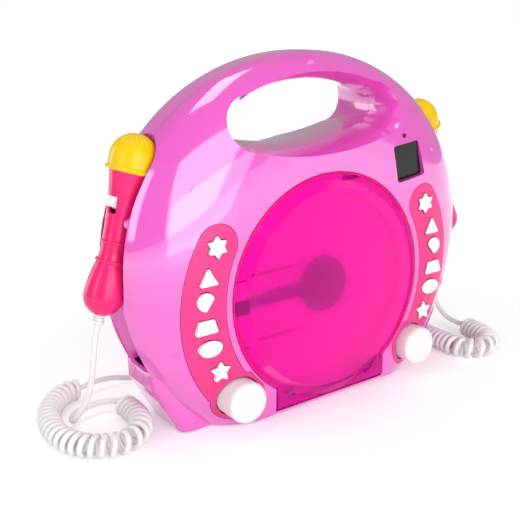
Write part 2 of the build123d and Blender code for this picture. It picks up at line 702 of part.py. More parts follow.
# ---- disc deck and drive --------------------------------------------------------------------
def disc_deck():
    """The well behind the lid, with the pickup's slot and posts for the drive."""
    inner_wall = WELL_RADIUS + DECK_WALL
    floor_back = WELL_FLOOR + DECK_WALL
    deck = disc_y(DECK_FLANGE_RADIUS, WALL, WALL + DECK_WALL)
    lug = TONGUE_HALF_WIDTH + HINGE_LUG_LENGTH + 2
    deck -= block((-lug, lug), (0, floor_back), (-FAR, TONGUE_TOP - 4)) - disc_y(inner_wall, 0, FAR)
    deck = (deck & full_inner) + disc_y(inner_wall, WALL, floor_back) - disc_y(WELL_RADIUS, 0, WELL_FLOOR)
    deck -= disc_y(HUB_RADIUS + 1, 0, FAR)
    slot = block((-SLOT_OUTER, -HUB_RADIUS), (0, FAR), (-SLOT_HALF_HEIGHT, SLOT_HALF_HEIGHT))
    deck = deck - slot - block((12.5, 27.5), (0, FAR / 2), (67.8, 72.6))
    for side in SIDES:
        well = KNOB_RADIUS + KNOB_GAP + WALL + CLEARANCE
        deck -= disc_y(well, 0, FAR, (side * KNOB_PLACE[0], KNOB_PLACE[1]))
        for level in SIDES:
            place = (side * POST_PLACE[0], level * POST_PLACE[1])
            deck += disc_y(POST_RADIUS, floor_back - 1, PLATE_DEPTH, place)
    return deck


def lid_catch():
    """A springy pawl that the lid's hook snaps behind."""
    back = WALL + DECK_WALL
    pawl = block((14, 26), (back, 9.5), (74.0, 75.6))
    return pawl + block((14, 26), (back, 5.6), (72.8, 75.6))


def disc_hub():
    """The turntable with its spigot, neck and shaft."""
    top = WELL_FLOOR - HUB_THICKNESS - 0.5
    hub = disc_y(HUB_RADIUS, top, top + HUB_THICKNESS) + disc_y(SPIGOT_RADIUS, top - SPIGOT_LENGTH, top)
    neck = disc_y(4, top + HUB_THICKNESS, PLATE_DEPTH - MOTOR_LENGTH - CLEARANCE)
    return hub + neck + disc_y(SHAFT_RADIUS, top, PLATE_DEPTH - 2)


def spindle_motor():
    motor = disc_y(MOTOR_RADIUS, PLATE_DEPTH - MOTOR_LENGTH, PLATE_DEPTH)
    return motor - disc_y(SHAFT_RADIUS + FIT_GAP, 0, PLATE_DEPTH - 1)


gear_pitch_radius = GEAR_TEETH * GEAR_MODULE / 2
rack_pitch = math.pi * GEAR_MODULE
rack_line = -SLED_HALF_HEIGHT - GEAR_MODULE * 1.5
gear_centre = (GEAR_PLACE, rack_line - gear_pitch_radius)
gear_depth = (SLED_DEPTH + 0.5, SLED_DEPTH + 0.5 + GEAR_THICKNESS)


def mechanism_plate():
    """The pressed plate that carries the motors, with the two guide rods in its ears."""
    depths = (PLATE_DEPTH, PLATE_DEPTH + PLATE_THICKNESS)
    plate = block(PLATE_REACH, depths, (-PLATE_HALF_HEIGHT, PLATE_HALF_HEIGHT))
    for level in SIDES:
        height = (level * ROD_HEIGHT - 2.5, level * ROD_HEIGHT + 2.5)
        for ear in ((PLATE_REACH[0], PLATE_REACH[0] + 2.5), (-13.5, -11)):
            plate += block(ear, (SLED_DEPTH, PLATE_DEPTH), height)
        plate += bar_x(ROD_RADIUS, PLATE_REACH[0], -11, SLED_DEPTH + SLED_THICKNESS / 2, level * ROD_HEIGHT)
    return plate - disc_y(SHAFT_RADIUS + 0.6, PLATE_DEPTH - 1, FAR, gear_centre)


def laser_pickup():
    """The sled with its lens and rack, running on the two rods."""
    half = SLED_LENGTH / 2
    depths = (SLED_DEPTH, SLED_DEPTH + SLED_THICKNESS)
    sled = block(
        (SLED_CENTRE - half, SLED_CENTRE + half), depths, (-SLED_HALF_HEIGHT, SLED_HALF_HEIGHT)
    )
    rack_start = GEAR_PLACE - 2 * rack_pitch
    teeth = round(SLED_TRAVEL / rack_pitch) + 4
    rack_end = rack_start + teeth * rack_pitch
    root = rack_line + GEAR_MODULE
    sled += block((rack_start, rack_end), gear_depth, (root, root + 2.2))
    for index in range(teeth):
        centre = rack_start + (index + 0.5) * rack_pitch
        base = rack_pitch / 4 - GEAR_BACKLASH / 2 + 0.25
        tip = rack_pitch / 4 - GEAR_BACKLASH / 2 - 0.2
        tooth = make_face(Polyline(
            (centre - base, root), (centre + base, root),
            (centre + tip, rack_line - 0.6 * GEAR_MODULE), (centre - tip, rack_line - 0.6 * GEAR_MODULE),
            close=True,
        ))
        sled += along_y(tooth, *gear_depth)
    for level in SIDES:
        depth = SLED_DEPTH + SLED_THICKNESS / 2
        sled -= bar_x(ROD_RADIUS + FIT_GAP, -FAR / 2, FAR / 2, depth, level * ROD_HEIGHT)
    return sled + disc_y(LENS_RADIUS, WELL_FLOOR + 0.6, SLED_DEPTH, (SLED_CENTRE, 0))


def sled_gear():
    """The pinion in mesh with the rack, on the small motor's shaft."""
    gear = disc_y(gear_pitch_radius - GEAR_MODULE, *gear_depth, gear_centre)
    for index in range(GEAR_TEETH):
        base, tip = rack_pitch / 4 - GEAR_BACKLASH / 2 + 0.25, rack_pitch / 4 - GEAR_BACKLASH / 2 - 0.25
        tooth = make_face(Polyline(
            (-base, gear_pitch_radius - 1.2 * GEAR_MODULE), (base, gear_pitch_radius - 1.2 * GEAR_MODULE),
            (tip, gear_pitch_radius + 0.6 * GEAR_MODULE), (-tip, gear_pitch_radius + 0.6 * GEAR_MODULE),
            close=True,
        ))
        turn = Rot(0, 0, 360 * index / GEAR_TEETH)
        gear += along_y(Pos(*gear_centre) * (turn * tooth), *gear_depth)
    return gear + disc_y(SHAFT_RADIUS, gear_depth[0], PLATE_DEPTH + 8, gear_centre)


def sled_motor():
    start = PLATE_DEPTH + PLATE_THICKNESS
    motor = disc_y(6, start, start + 14, gear_centre)
    return motor - disc_y(SHAFT_RADIUS + FIT_GAP, 0, PLATE_DEPTH + 9, gear_centre)


# ---- controls -------------------------------------------------------------------------------
def knob():
    """The right knob: a deep cap with a rounded face, and its shaft."""
    cap = disc_y(KNOB_RADIUS, -KNOB_FACE, KNOB_WELL_DEPTH - 1.5, KNOB_PLACE)
    cap = fillet(cap.edges().sort_by(Axis.Y)[:1], 2.6)
    end = KNOB_WELL_DEPTH + WALL + CONTROL_THICKNESS - 2
    return cap + disc_y(KNOB_SHAFT_RADIUS, 0, end, KNOB_PLACE)


def knob_controls():
    start = KNOB_WELL_DEPTH + WALL
    half = CONTROL_SIZE / 2
    x, z = KNOB_PLACE
    body = block((x - half, x + half), (start, start + CONTROL_THICKNESS), (z - half, z + half))
    body -= disc_y(KNOB_SHAFT_RADIUS + FIT_GAP, 0, start + CONTROL_THICKNESS - 1.5, KNOB_PLACE)
    return Compound([body, mirrored(body)])


def key_boards():
    depths = (KEY_BOARD_DEPTH, KEY_BOARD_DEPTH + BOARD_THICKNESS)
    board = block((77, 103), depths, (KEY_BOARD_BOTTOM, KEY_BOARD_TOP))
    return Compound([board, mirrored(board)])


def display_window():
    return along_y(window_outline(-0.15), WINDOW_DEPTH, WINDOW_DEPTH + WINDOW_THICKNESS)


def display_module():
    pad = along_y(window_outline(-0.4), WINDOW_DEPTH + WINDOW_THICKNESS, WINDOW_SEAT)
    return pad + along_y(window_outline(WINDOW_LEDGE - 0.5), WINDOW_SEAT, WINDOW_SEAT + 5)


def power_light():
    """A lens that stands just proud of the front, with its wider foot behind."""
    front = surface_depth(*LIGHT_PLACE)
    lens = disc_y(LIGHT_RADIUS, front - 0.8, front + LIGHT_LENGTH, LIGHT_PLACE)
    return lens + disc_y(LIGHT_RADIUS + 0.6, front + WALL + 1, front + LIGHT_LENGTH, LIGHT_PLACE)


def main_board():
    depths = (MAIN_BOARD_DEPTH, MAIN_BOARD_DEPTH + BOARD_THICKNESS)
    heights = (MAIN_BOARD_MIDDLE - MAIN_BOARD[1], MAIN_BOARD_MIDDLE + MAIN_BOARD[1])
    board = block((-MAIN_BOARD[0], MAIN_BOARD[0]), depths, heights)
    chip_heights = (MAIN_BOARD_MIDDLE - 8, MAIN_BOARD_MIDDLE + 8)
    chip = block((-8, 8), (MAIN_BOARD_DEPTH - 2, MAIN_BOARD_DEPTH), chip_heights)
    return board + chip


# ---- back of the case -----------------------------------------------------------------------
def speakers():
    """Two loudspeakers: a frame, a cone in front and a magnet behind."""
    front = BACK_WALL
    outline = Polyline(
        (0, front - SPEAKER_DEPTH), (11, front - SPEAKER_DEPTH), (11, front - 9),
        (SPEAKER_RADIUS - 2, front - 3),
        (SPEAKER_RADIUS, front - 3), (SPEAKER_RADIUS, front), (SPEAKER_RADIUS - 3, front),
        (8, front - 7), (0, front - 6), close=True,
    )
    cone = revolve(make_face(outline), axis=Axis.Y)
    return Compound([Pos(side * SPEAKER_PLACE[0], 0, SPEAKER_PLACE[1]) * cone for side in SIDES])


def battery_tray():
    """The bay for four cells, with a contact plate at each end of each cell's place."""
    tray = along_y(battery_opening(TRAY_WALL), BACK_WALL - BATTERY_DEPTH, BACK_WALL)
    tray -= along_y(battery_opening(-1), BACK_WALL - BATTERY_DEPTH + TRAY_WALL, BACK_WALL)
    depth = (BACK_WALL - BATTERY_DEPTH + TRAY_WALL + 5, BACK_WALL - 6)
    plates = []
    for side in SIDES:
        reach = side * (BATTERY_HALF_WIDTH - 1)
        x = tuple(sorted((reach, reach - side * 0.5)))
        for level in (0.25, 0.75):
            height = BATTERY_BOTTOM + (BATTERY_TOP - BATTERY_BOTTOM) * level
            plates.append(block(x, depth, (height - 8, height + 8)))
    return Compound([tray] + plates)


def battery_door():
    door = along_y(battery_opening(-CLEARANCE), BACK_WALL + CLEARANCE, REAR_FACE)
    grip = along_y(Pos(0, BATTERY_TOP - 8) * SlotOverall(30, 8), REAR_FACE - 1, REAR_FACE + 1)
    return door - grip


def rear_sockets():
    """The power socket above the headphone socket."""
    sockets = []
    for place, bore in ((POWER_SOCKET_PLACE, POWER_BORE_RADIUS), (PHONES_SOCKET_PLACE, PHONES_BORE_RADIUS)):
        body = disc_y(SOCKET_RADIUS, REAR_FACE - SOCKET_LENGTH, REAR_FACE, place)
        sockets.append(body - disc_y(bore, REAR_FACE - SOCKET_LENGTH + 2, REAR_FACE + 1, place))
    return Compound(sockets)


def case_screws():
    screws = []
    seat = PARTING_DEPTH + SCREW_SEAT
    for place in boss_places:
        shank = disc_y(SCREW_RADIUS, seat - SCREW_LENGTH, seat, place)
        screws.append(shank + disc_y(SCREW_HEAD_RADIUS, seat, seat + SCREW_HEAD_HEIGHT, place))
    return Compound(screws)


def rubber_feet():
    pads = []
    for side in SIDES:
        for depth in PAD_DEPTHS:
            pad = Cylinder(PAD_RADIUS, FOOT_PAD_HEIGHT, align=(Align.CENTER, Align.CENTER, Align.MIN))
            pads.append(Pos(side * PAD_REACH, depth, FLOOR) * pad)
    return Compound(pads)


# ---- microphones ----------------------------------------------------------------------------
def stem_profile(inset):
    """Half of the handle's outline, from the foot to the neck."""
    bulb = MIC_BULB_RADIUS - inset
    low = -MIC_BULB - bulb
    slant = bulb * math.sqrt(0.5)
    waist = MIC_WAIST_RADIUS - inset
    neck = MIC_NECK_RADIUS - inset
    ring_gap = (MIC_RINGS[0] + MIC_RINGS[1]) / 2
    top = -MIC_RIM_HEIGHT / 2
    foot_arc = ThreePointArc((0, low), (slant, -MIC_BULB - slant), (bulb, -MIC_BULB))
    swell = ThreePointArc((bulb, -MIC_BULB), (bulb - 0.9, -MIC_BULB + 9), (waist + 0.6, -MIC_RINGS[1] - 1))
    grip = Polyline((waist + 0.6, -MIC_RINGS[1] - 1), (waist - 0.4, -ring_gap), (waist, -MIC_WAIST))
    stem = ThreePointArc((waist, -MIC_WAIST), ((waist + neck) / 2 - 0.9, -MIC_WAIST / 2), (neck, top))
    close_line = Polyline((neck, top), (0, top), (0, low))
    return make_face([foot_arc, swell, grip, stem, close_line])


slot_out = Vector(
    -math.sin(math.radians(MIC_SLOT_TURN)), -math.cos(math.radians(MIC_SLOT_TURN)), 0
)


def at_slot(shape, down):
    """Puts a shape drawn with its outward side along +X at a place down the slot."""
    local = Location((0, 0, -down), (0, 0, 180 + 90 - MIC_SLOT_TURN))
    return mic_plane.location * local * shape


def mic_handle():
    handle = mic_turned(stem_profile(0))
    for ring, spread in zip(MIC_RINGS, (0.0, 0.7)):
        handle += mic_turned(Pos(MIC_WAIST_RADIUS - 0.2 + spread, -ring) * Circle(1.1))
    handle -= mic_turned(stem_profile(MIC_WALL))
    outline = RectangleRounded(MIC_SLOT_WIDTH, MIC_SLOT_LENGTH, 1.2)
    slot = extrude(Plane.YZ.offset(5) * outline, amount=MIC_NECK_RADIUS)
    handle -= at_slot(slot, MIC_SLOT)
    flat = relief_top()
    foot_cut = make_face(Polyline(
        (0, -flat), (RELIEF_RADIUS, -flat), (RELIEF_RADIUS, -flat - 9), (0, -flat - 9), close=True,
    ))
    hole = make_face(Polyline((0, -flat + 9), (2.4, -flat + 9), (2.4, -flat), (0, -flat), close=True))
    return handle - mic_turned(foot_cut) - mic_turned(hole)


def relief_top():
    """How far down the cord relief's shoulder lies."""
    return MIC_BULB + math.sqrt(MIC_BULB_RADIUS ** 2 - RELIEF_RADIUS ** 2)


def mic_relief():
    """A plug in the handle's foot, and a ribbed sleeve under it."""
    top = relief_top()
    end = -top - RELIEF_LENGTH
    core = make_face(Polyline((0, -top + 3), (2.4, -top + 3), (2.4, end), (0, end), close=True))
    relief = mic_turned(core)
    pitch = RELIEF_LENGTH / RELIEF_RIBS
    for index in range(RELIEF_RIBS):
        level = -top - index * pitch
        under = level - pitch * 0.6
        rib = make_face(Polyline(
            (0, level), (RELIEF_RADIUS, level), (RELIEF_RADIUS, under), (0, under), close=True,
        ))
        relief += mic_turned(rib)
    return relief


def mic_head():
    """A hollow dome with a lip, and a skirt that plugs into the handle."""
    r, rise, lip = MIC_HEAD_RADIUS, MIC_HEAD_RISE, MIC_RIM_HEIGHT / 2
    wall = MIC_WALL
    slant = math.sqrt(0.5)
    skirt = MIC_NECK_RADIUS - wall - 0.1
    dome = ThreePointArc((r, rise), (r * slant, rise + r * slant), (0, rise + r))
    lip_arc = ThreePointArc((r - 0.4, lip), (MIC_RIM_RADIUS + 0.3, 0), (r - 0.4, -lip))
    side = Polyline((r - 0.4, lip), (r, rise))
    rest = Polyline(
        (r - 0.4, -lip), (skirt, -lip), (skirt - 1.1, -lip - 5), (skirt - 1.7, -lip - 5),
        (skirt - 1.6, rise),
    )
    inner_r = skirt - 1.6
    inner_mid = (inner_r * slant, rise + 2 + inner_r * slant)
    inner = ThreePointArc((inner_r, rise), inner_mid, (0, rise + r - wall))
    axis_line = Polyline((0, rise + r - wall), (0, rise + r))
    return mic_turned(make_face([dome, axis_line, inner, rest, lip_arc, side]))


def mic_capsule():
    """The pickup in its holder, inside the head's skirt."""
    holder = MIC_NECK_RADIUS - MIC_WALL - 1.9
    low = -MIC_RIM_HEIGHT / 2 - 4
    outline = Polyline(
        (0, low), (holder, low), (holder, low + 2), (5, low + 2), (5, low + 8), (0, low + 8), close=True,
    )
    return mic_turned(make_face(outline))


def mic_switch():
    """A slider in the handle's slot, with a wider foot inside."""
    width = MIC_SLOT_WIDTH - 2 * CLEARANCE
    down = MIC_SLOT - (MIC_SLOT_LENGTH - MIC_SWITCH_LENGTH) / 2 + CLEARANCE
    low = (Align.MIN, Align.CENTER, Align.CENTER)
    cap = Pos(4.6, 0, 0) * Box(7.8, width, MIC_SWITCH_LENGTH, align=low)
    cap = fillet(cap.edges().group_by(Axis.X)[-1], 0.6)
    spread = Pos(4.6, 0, 0) * Box(1.0, width + 2.4, MIC_SWITCH_LENGTH + 2.6, align=low)
    return at_slot(cap + spread, down)


def mic_clip():
    """A springy C round the handle, with a ball at each tip, on a stub in the bay."""
    down = (MIC_COLLAR[2] - CLIP_LEVEL) / math.cos(math.radians(MIC_LEAN))
    centre = mic_point(down)
    outer = CLIP_RADIUS + CLIP_THICKNESS
    low = (Align.CENTER, Align.CENTER, Align.CENTER)
    ring = Cylinder(outer, CLIP_HEIGHT, align=low) - Cylinder(CLIP_RADIUS, CLIP_HEIGHT, align=low)
    ring &= Pos(outer / 2, 0, 0) * Box(outer, 2 * outer, CLIP_HEIGHT)
    for side in SIDES:
        tip = Pos(-0.5, side * (CLIP_RADIUS + CLIP_THICKNESS / 2 + 0.4), 0) * Rot(0, 0, 90)
        ring += tip * Sphere(CLIP_BALL_RADIUS)
    beyond = (Align.MIN, Align.CENTER, Align.CENTER)
    stub = Pos(outer - 0.5, 0, 0) * Box(12, 8, CLIP_HEIGHT - 1, align=beyond)
    clip = Pos(*centre) * (ring + stub)
    return clip & mic_bay(0)


# ---- cords ----------------------------------------------------------------------------------
# Chosen by hand, in the finished frame: the origin is on the floor under the middle of the case.
LEFT_LEAD = [
    (-149.6, 6.5, 72.0), (-151, 9, 58), (-152, 13, 42), (-154.5, 19, 27), (-158.8, 24.8, 16.5),
    (-160.5, 31, 10.2), (-158.9, 39.5, 8.2), (-154.2, 45.9, 7.9), (-147.03, 49.44, 7.9),
]
LEFT_COIL = [
    (-139, 49.8), (-129.5, 52.6), (-121.8, 39), (-121.2, 16), (-128, -3), (-143.5, -11), (-160, -5),
    (-171.5, 11), (-174, 32), (-169.5, 54), (-158, 72), (-142, 83), (-122, 84),
]
LEFT_TAIL = [
    (-113.03, 84.74, 7.9), (-96, 84, 2.8), (-83, 76, 3.4), (-73, 65.5, 13), (-68, 53.5, 23),
]
RIGHT_LEAD = [
    (149.6, 6.5, 72.0), (151.5, 11, 60), (154, 19, 47), (157.5, 26.5, 33), (159.8, 29, 18.5),
    (159.934, 16.956, 7.9),
]
RIGHT_COIL = [
    (159, 7), (157.5, -10), (155, -24), (153.5, -34.6), (144.1, -44), (130.9, -44), (121.5, -34.6),
    (121.5, -17), (122.5, 2), (123, 22), (122, 42), (114, 59), (102, 69), (88, 71.5),
]
RIGHT_TAIL = [
    (80.693, 73.197, 7.9), (72.5, 71.3, 9.8), (66.8, 65.5, 14.5), (66, 57.3, 19.8), (68, 51, 23),
]


class Route:
    """A smooth flat line through the middles of the legs between hand-chosen points.

    Beside the length along the line it keeps the length along the inside of its bends, a curl's
    radius off, where the curls lie closest together.
    """

    def __init__(self, points, height, inset):
        pts = [Vector(x, y, height) for x, y in points]
        self.line = [pts[0]]
        legs = len(pts) - 2
        for index in range(legs):
            start = pts[0] if index == 0 else (pts[index] + pts[index + 1]) * 0.5
            end = pts[-1] if index == legs - 1 else (pts[index + 1] + pts[index + 2]) * 0.5
            for step in range(1, 41):
                t = step / 40
                self.line.append(start * (1 - t) ** 2 + pts[index + 1] * (2 * t * (1 - t)) + end * t ** 2)
        self.reach = [0.0]
        self.inside = [0.0]
        before = None
        for a, b in zip(self.line, self.line[1:]):
            leg = b - a
            turn = math.radians(before.get_angle(leg)) if before else 0
            self.reach.append(self.reach[-1] + leg.length)
            self.inside.append(self.inside[-1] + leg.length - inset * turn)
            before = leg
        self.length = self.reach[-1]

    def share_of(self, value, scale):
        """The leg of the line where a rising scale reaches a value, and how far along the leg."""
        index = 1
        while scale[index] < value and index < len(scale) - 1:
            index += 1
        return index, (value - scale[index - 1]) / (scale[index] - scale[index - 1])

    def at(self, distance):
        index, share = self.share_of(min(max(distance, 0), self.length), self.reach)
        return self.line[index - 1] * (1 - share) + self.line[index] * share

    def heading(self, distance):
        low, high = max(distance - 0.5, 0), min(distance + 0.5, self.length)
        return (self.at(high) - self.at(low)).normalized()

    def inside_of(self, distance):
        index, share = self.share_of(distance, self.reach)
        return self.inside[index - 1] * (1 - share) + self.inside[index] * share

    def from_inside(self, value):
        index, share = self.share_of(value, self.inside)
        return self.reach[index - 1] * (1 - share) + self.reach[index] * share


def curl_point(route, curls, turn):
    """A point of the curly cord: round its route, closing in on it over the end turns."""
    full = (CURL_DIAMETER - CORD_DIAMETER) / 2
    ramp = min(1.0, turn, curls - turn)
    radius = full * math.sin(math.pi / 2 * ramp) ** 2
    first = route.inside_of(CORD_DIAMETER)
    last = route.inside_of(route.length - CORD_DIAMETER)
    pitch = (last - first - 2 * CURL_RUN_OUT) / curls
    opening = 1 - (1 - min(1.0, turn)) ** 3
    closing = (1 - min(1.0, curls - turn)) ** 3
    place = route.from_inside(first + pitch * turn + CURL_RUN_OUT * (opening + closing))
    sideways = route.heading(place).cross(Vector(0, 0, 1)).normalized()
    angle = 2 * math.pi * turn
    return route.at(place) + sideways * (radius * math.cos(angle)) + Vector(0, 0, radius * math.sin(angle))


def curly_cord(name, flat_points, curls):
    """One unbroken tube from a straight end through every curl to the other straight end."""
    route = Route(flat_points, CURL_DIAMETER / 2, (CURL_DIAMETER - CORD_DIAMETER) / 2)
    points, tangents = [], []
    for quarter in range(4 * curls + 1):
        turn = quarter / 4
        low, high = max(0, turn - 0.01), min(curls, turn + 0.01)
        points.append(curl_point(route, curls, turn))
        tangents.append((curl_point(route, curls, high) - curl_point(route, curls, low)).normalized())
    tangents[0] = route.heading(CORD_DIAMETER)
    tangents[-1] = route.heading(route.length - CORD_DIAMETER)
    start = points[0] - tangents[0] * CORD_DIAMETER
    end = points[-1] + tangents[-1] * CORD_DIAMETER
    edges = [Edge.make_line(start, points[0])] + arcs_through(points, tangents)
    edges.append(Edge.make_line(points[-1], end))
    tube = swept(edges, CORD_DIAMETER)
    wire = sum(edge.length for edge in edges)
    area = math.pi * CORD_DIAMETER ** 2 / 4
    samples, along = [], []
    travelled = 0
    for edge in edges:
        for step in range(4):
            samples.append(edge @ (step / 4))
            along.append(travelled + edge.length * step / 4)
        travelled += edge.length
    least = FAR
    for i, a in enumerate(samples):
        for j in range(i + 8, min(i + 80, len(samples))):
            gap = (a - samples[j]).length
            if along[j] - along[i] > 2 * gap + 2:
                least = min(least, gap)
    print(name, "curls", curls, "route", round(route.length, 1), "cord", round(wire, 1))
    print("  volume", round(tube.volume), "section x length", round(area * wire))
    print("  least gap of the curls", round(least - CORD_DIAMETER, 2))
    return tube, start, end


def free_tube(name, points):
    """A tube of straight runs joined by arcs as large as the runs allow."""
    pts = [Vector(*point) for point in points]
    runs = [b - a for a, b in zip(pts, pts[1:])]
    radii = []
    for before, after in zip(runs, runs[1:]):
        half_turn = math.radians(before.get_angle(after)) / 2
        radii.append(0.45 * min(before.length, after.length) / math.tan(half_turn))
    path = FilletPolyline(*pts, radius=radii)
    tube = swept(path.edges(), CORD_DIAMETER)
    area = math.pi * CORD_DIAMETER ** 2 / 4
    print(name, "radii", [round(radius, 1) for radius in radii])
    print("  runs", [round(run.length, 1) for run in runs])
    print("  volume", round(tube.volume), "section x length", round(area * path.length))
    return tube


def cords():
    """Leads, curls and tails, already in the finished frame."""
    made = {}
    for side, lead, coil, tail, curls in (
        ("left", LEFT_LEAD, LEFT_COIL, LEFT_TAIL, LEFT_CURLS),
        ("right", RIGHT_LEAD, RIGHT_COIL, RIGHT_TAIL, RIGHT_CURLS),
    ):
        sign = -1 if side == "left" else 1
        tube, start, end = curly_cord(side + " curls", coil, curls)
        exit_point = TO_FRAME * Pos(*mic_point(relief_top() + RELIEF_LENGTH))
        x, y, z = exit_point.position
        gland = (sign * GLAND_PLACE[0], REAR_FACE + GLAND_PROUD - MIDDLE_DEPTH, GLAND_PLACE[1] + LID_HEIGHT)
        made[side + "_mic_lead"] = free_tube(side + " lead", [(-sign * x, y, z)] + lead + [tuple(start)])
        made[side + "_cord_curls"] = tube
        made[side + "_cord_tail"] = free_tube(side + " tail", [tuple(end)] + tail + [gland])
    return made


def cord_glands():
    glands = []
    for side in SIDES:
        place = (side * GLAND_PLACE[0], GLAND_PLACE[1])
        body = disc_y(GLAND_RADIUS, BACK_WALL, REAR_FACE + GLAND_PROUD, place)
        glands.append(body + disc_y(GLAND_RADIUS + 1.5, BACK_WALL - 2, BACK_WALL, place))
    return Compound(glands)


# ---- the whole machine ----------------------------------------------------------------------
def everything():
    made = {
        "front_shell": front_shell(), "rear_shell": rear_shell(),
        "disc_lid": disc_lid(), "lid_hinge_pins": lid_hinge_pins(), "lid_springs": lid_springs(),
        "lid_catch": lid_catch(), "disc_deck": disc_deck(), "disc_hub": disc_hub(),
        "spindle_motor": spindle_motor(), "mechanism_plate": mechanism_plate(),
        "laser_pickup": laser_pickup(), "sled_gear": sled_gear(),
        "sled_motor": sled_motor(), "knob_controls": knob_controls(), "key_boards": key_boards(),
        "display_window": display_window(), "display_module": display_module(),
        "power_light": power_light(), "main_board": main_board(), "speakers": speakers(),
        "battery_tray": battery_tray(), "battery_door": battery_door(),
        "rear_sockets": rear_sockets(),
        "case_screws": case_screws(), "rubber_feet": rubber_feet(), "cord_glands": cord_glands(),
    }
    for name, maker in (
        ("button_panel", button_panel), ("knob", knob),
    ):
        shape = maker()
        made["right_" + name] = shape
        made["left_" + name] = mirrored(shape)
    for name in BUTTONS:
        shape = button(name)
        made["right_" + name + "_button"] = shape
        made["left_" + name + "_button"] = mirrored(shape)
    for maker in (mic_clip, mic_handle, mic_head, mic_capsule, mic_switch, mic_relief):
        shape = maker()
        made["left_" + maker.__name__] = shape
        made["right_" + maker.__name__] = mirrored(shape)
    made = {name: TO_FRAME * shape for name, shape in made.items()}
    made.update(cords())
    return made


os.makedirs("parts", exist_ok=True)
for name, shape in everything().items():
    export_step(shape, f"parts/{name}.step")
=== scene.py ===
import bmesh
import bpy
import math
from mathutils import Matrix, Vector
from mathutils.bvhtree import BVHTree


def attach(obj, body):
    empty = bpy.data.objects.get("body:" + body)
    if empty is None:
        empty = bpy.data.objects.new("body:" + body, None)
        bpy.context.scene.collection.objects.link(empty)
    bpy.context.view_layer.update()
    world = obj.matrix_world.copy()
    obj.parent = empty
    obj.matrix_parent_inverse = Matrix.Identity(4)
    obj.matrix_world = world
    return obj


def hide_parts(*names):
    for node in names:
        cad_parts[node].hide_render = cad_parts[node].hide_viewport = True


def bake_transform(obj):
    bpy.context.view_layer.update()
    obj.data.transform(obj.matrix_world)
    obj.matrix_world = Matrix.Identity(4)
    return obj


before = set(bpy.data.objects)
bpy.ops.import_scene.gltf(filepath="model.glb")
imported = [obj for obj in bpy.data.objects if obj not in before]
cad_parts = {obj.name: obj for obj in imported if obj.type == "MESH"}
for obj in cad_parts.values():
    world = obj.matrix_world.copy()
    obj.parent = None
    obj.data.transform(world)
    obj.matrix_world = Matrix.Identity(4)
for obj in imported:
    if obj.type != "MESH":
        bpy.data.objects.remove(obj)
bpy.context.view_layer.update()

# ---- Viewpoint ------------------------------------------------------------------------------
# The machine is seen from its left front and a little above, as on a studio table. The camera
# stands where its lens has to be for the lid's circle to fall on the outline in the photograph.
EYE = Vector((-0.3171, -0.4355, 0.2568))
YAW, PITCH, ROLL = math.radians(-33.14), math.radians(16.77), math.radians(-2.34)
LENS_LENGTH = 56.96     # millimetres, for a sensor as wide as small film
FILM_WIDTH = 36.0

level_right = Vector((math.cos(YAW), math.sin(YAW), 0))
ahead = Vector((
    -math.sin(YAW) * math.cos(PITCH), math.cos(YAW) * math.cos(PITCH), -math.sin(PITCH),
))
level_up = level_right.cross(ahead)
view_right = level_right * math.cos(ROLL) + level_up * math.sin(ROLL)
view_up = level_up * math.cos(ROLL) - level_right * math.sin(ROLL)
camera = bpy.data.objects.new("camera", bpy.data.cameras.new("camera"))
bpy.context.scene.collection.objects.link(camera)
camera.data.lens = LENS_LENGTH
camera.data.sensor_width = FILM_WIDTH
turned = Matrix((view_right, view_up, -ahead)).transposed().to_4x4()
camera.matrix_world = Matrix.Translation(EYE) @ turned
bpy.context.scene.camera = camera
bpy.context.scene.view_settings.view_transform = "Standard"


# ---- Table and light ------------------------------------------------------------------------
# A white paper sweep without a visible edge, under soft boxes. A broad one and a low one behind
# the camera lie as the pale patch on the face; the others light the left, the back and the rim.
def light_box(name, place, target, size, watts):
    """A soft box at a place, turned to face a target."""
    lamp = bpy.data.lights.new(name, "AREA")
    lamp.shape = "RECTANGLE"
    lamp.size, lamp.size_y = size
    lamp.energy = watts
    box = bpy.data.objects.new(name, lamp)
    bpy.context.scene.collection.objects.link(box)
    box.location = place
    box.rotation_euler = (Vector(target) - Vector(place)).to_track_quat("-Z", "Y").to_euler()


MACHINE_MIDDLE = (0.0, 0.0, 0.11)
LID_MIDDLE = (0.0, 0.0, 0.15)
light_box("front_box", (-0.2, -1.28, 0.55), MACHINE_MIDDLE, (0.98, 0.9), 7.6)
light_box("low_box", (-0.06, -0.76, 0.17), LID_MIDDLE, (0.66, 0.3), 1.15)
light_box("side_box", (-1.2, -0.2, 0.6), MACHINE_MIDDLE, (0.35, 0.8), 2.6)
light_box("back_box", (-0.8, 1.0, 0.42), MACHINE_MIDDLE, (0.5, 0.7), 3.0)
light_box("top_box", (-0.1, 0.1, 1.4), MACHINE_MIDDLE, (0.7, 0.4), 3.2)

NEAR_FLOOR = 0.22       # metres from the middle, where the paper still shows the shadow in full
FAR_FLOOR = 0.9         # from here on it is white
NEAR_LIFT, FAR_LIFT = 0.34, 1.0
ROOM_LIGHT = 0.4


def either_of(nodes, links, one, other):
    """One when either of two outputs is."""
    joined = nodes.new("ShaderNodeMath")
    joined.operation = "MAXIMUM"
    links.new(one, joined.inputs[0])
    links.new(other, joined.inputs[1])
    return joined.outputs[0]


def faded(nodes, links, value, start, end, low, high):
    """A value's place between start and end, as a number from low to high."""
    scale = nodes.new("ShaderNodeMapRange")
    scale.inputs["From Min"].default_value = start
    scale.inputs["From Max"].default_value = end
    scale.inputs["To Min"].default_value = low
    scale.inputs["To Max"].default_value = high
    links.new(value, scale.inputs["Value"])
    return scale.outputs["Result"]


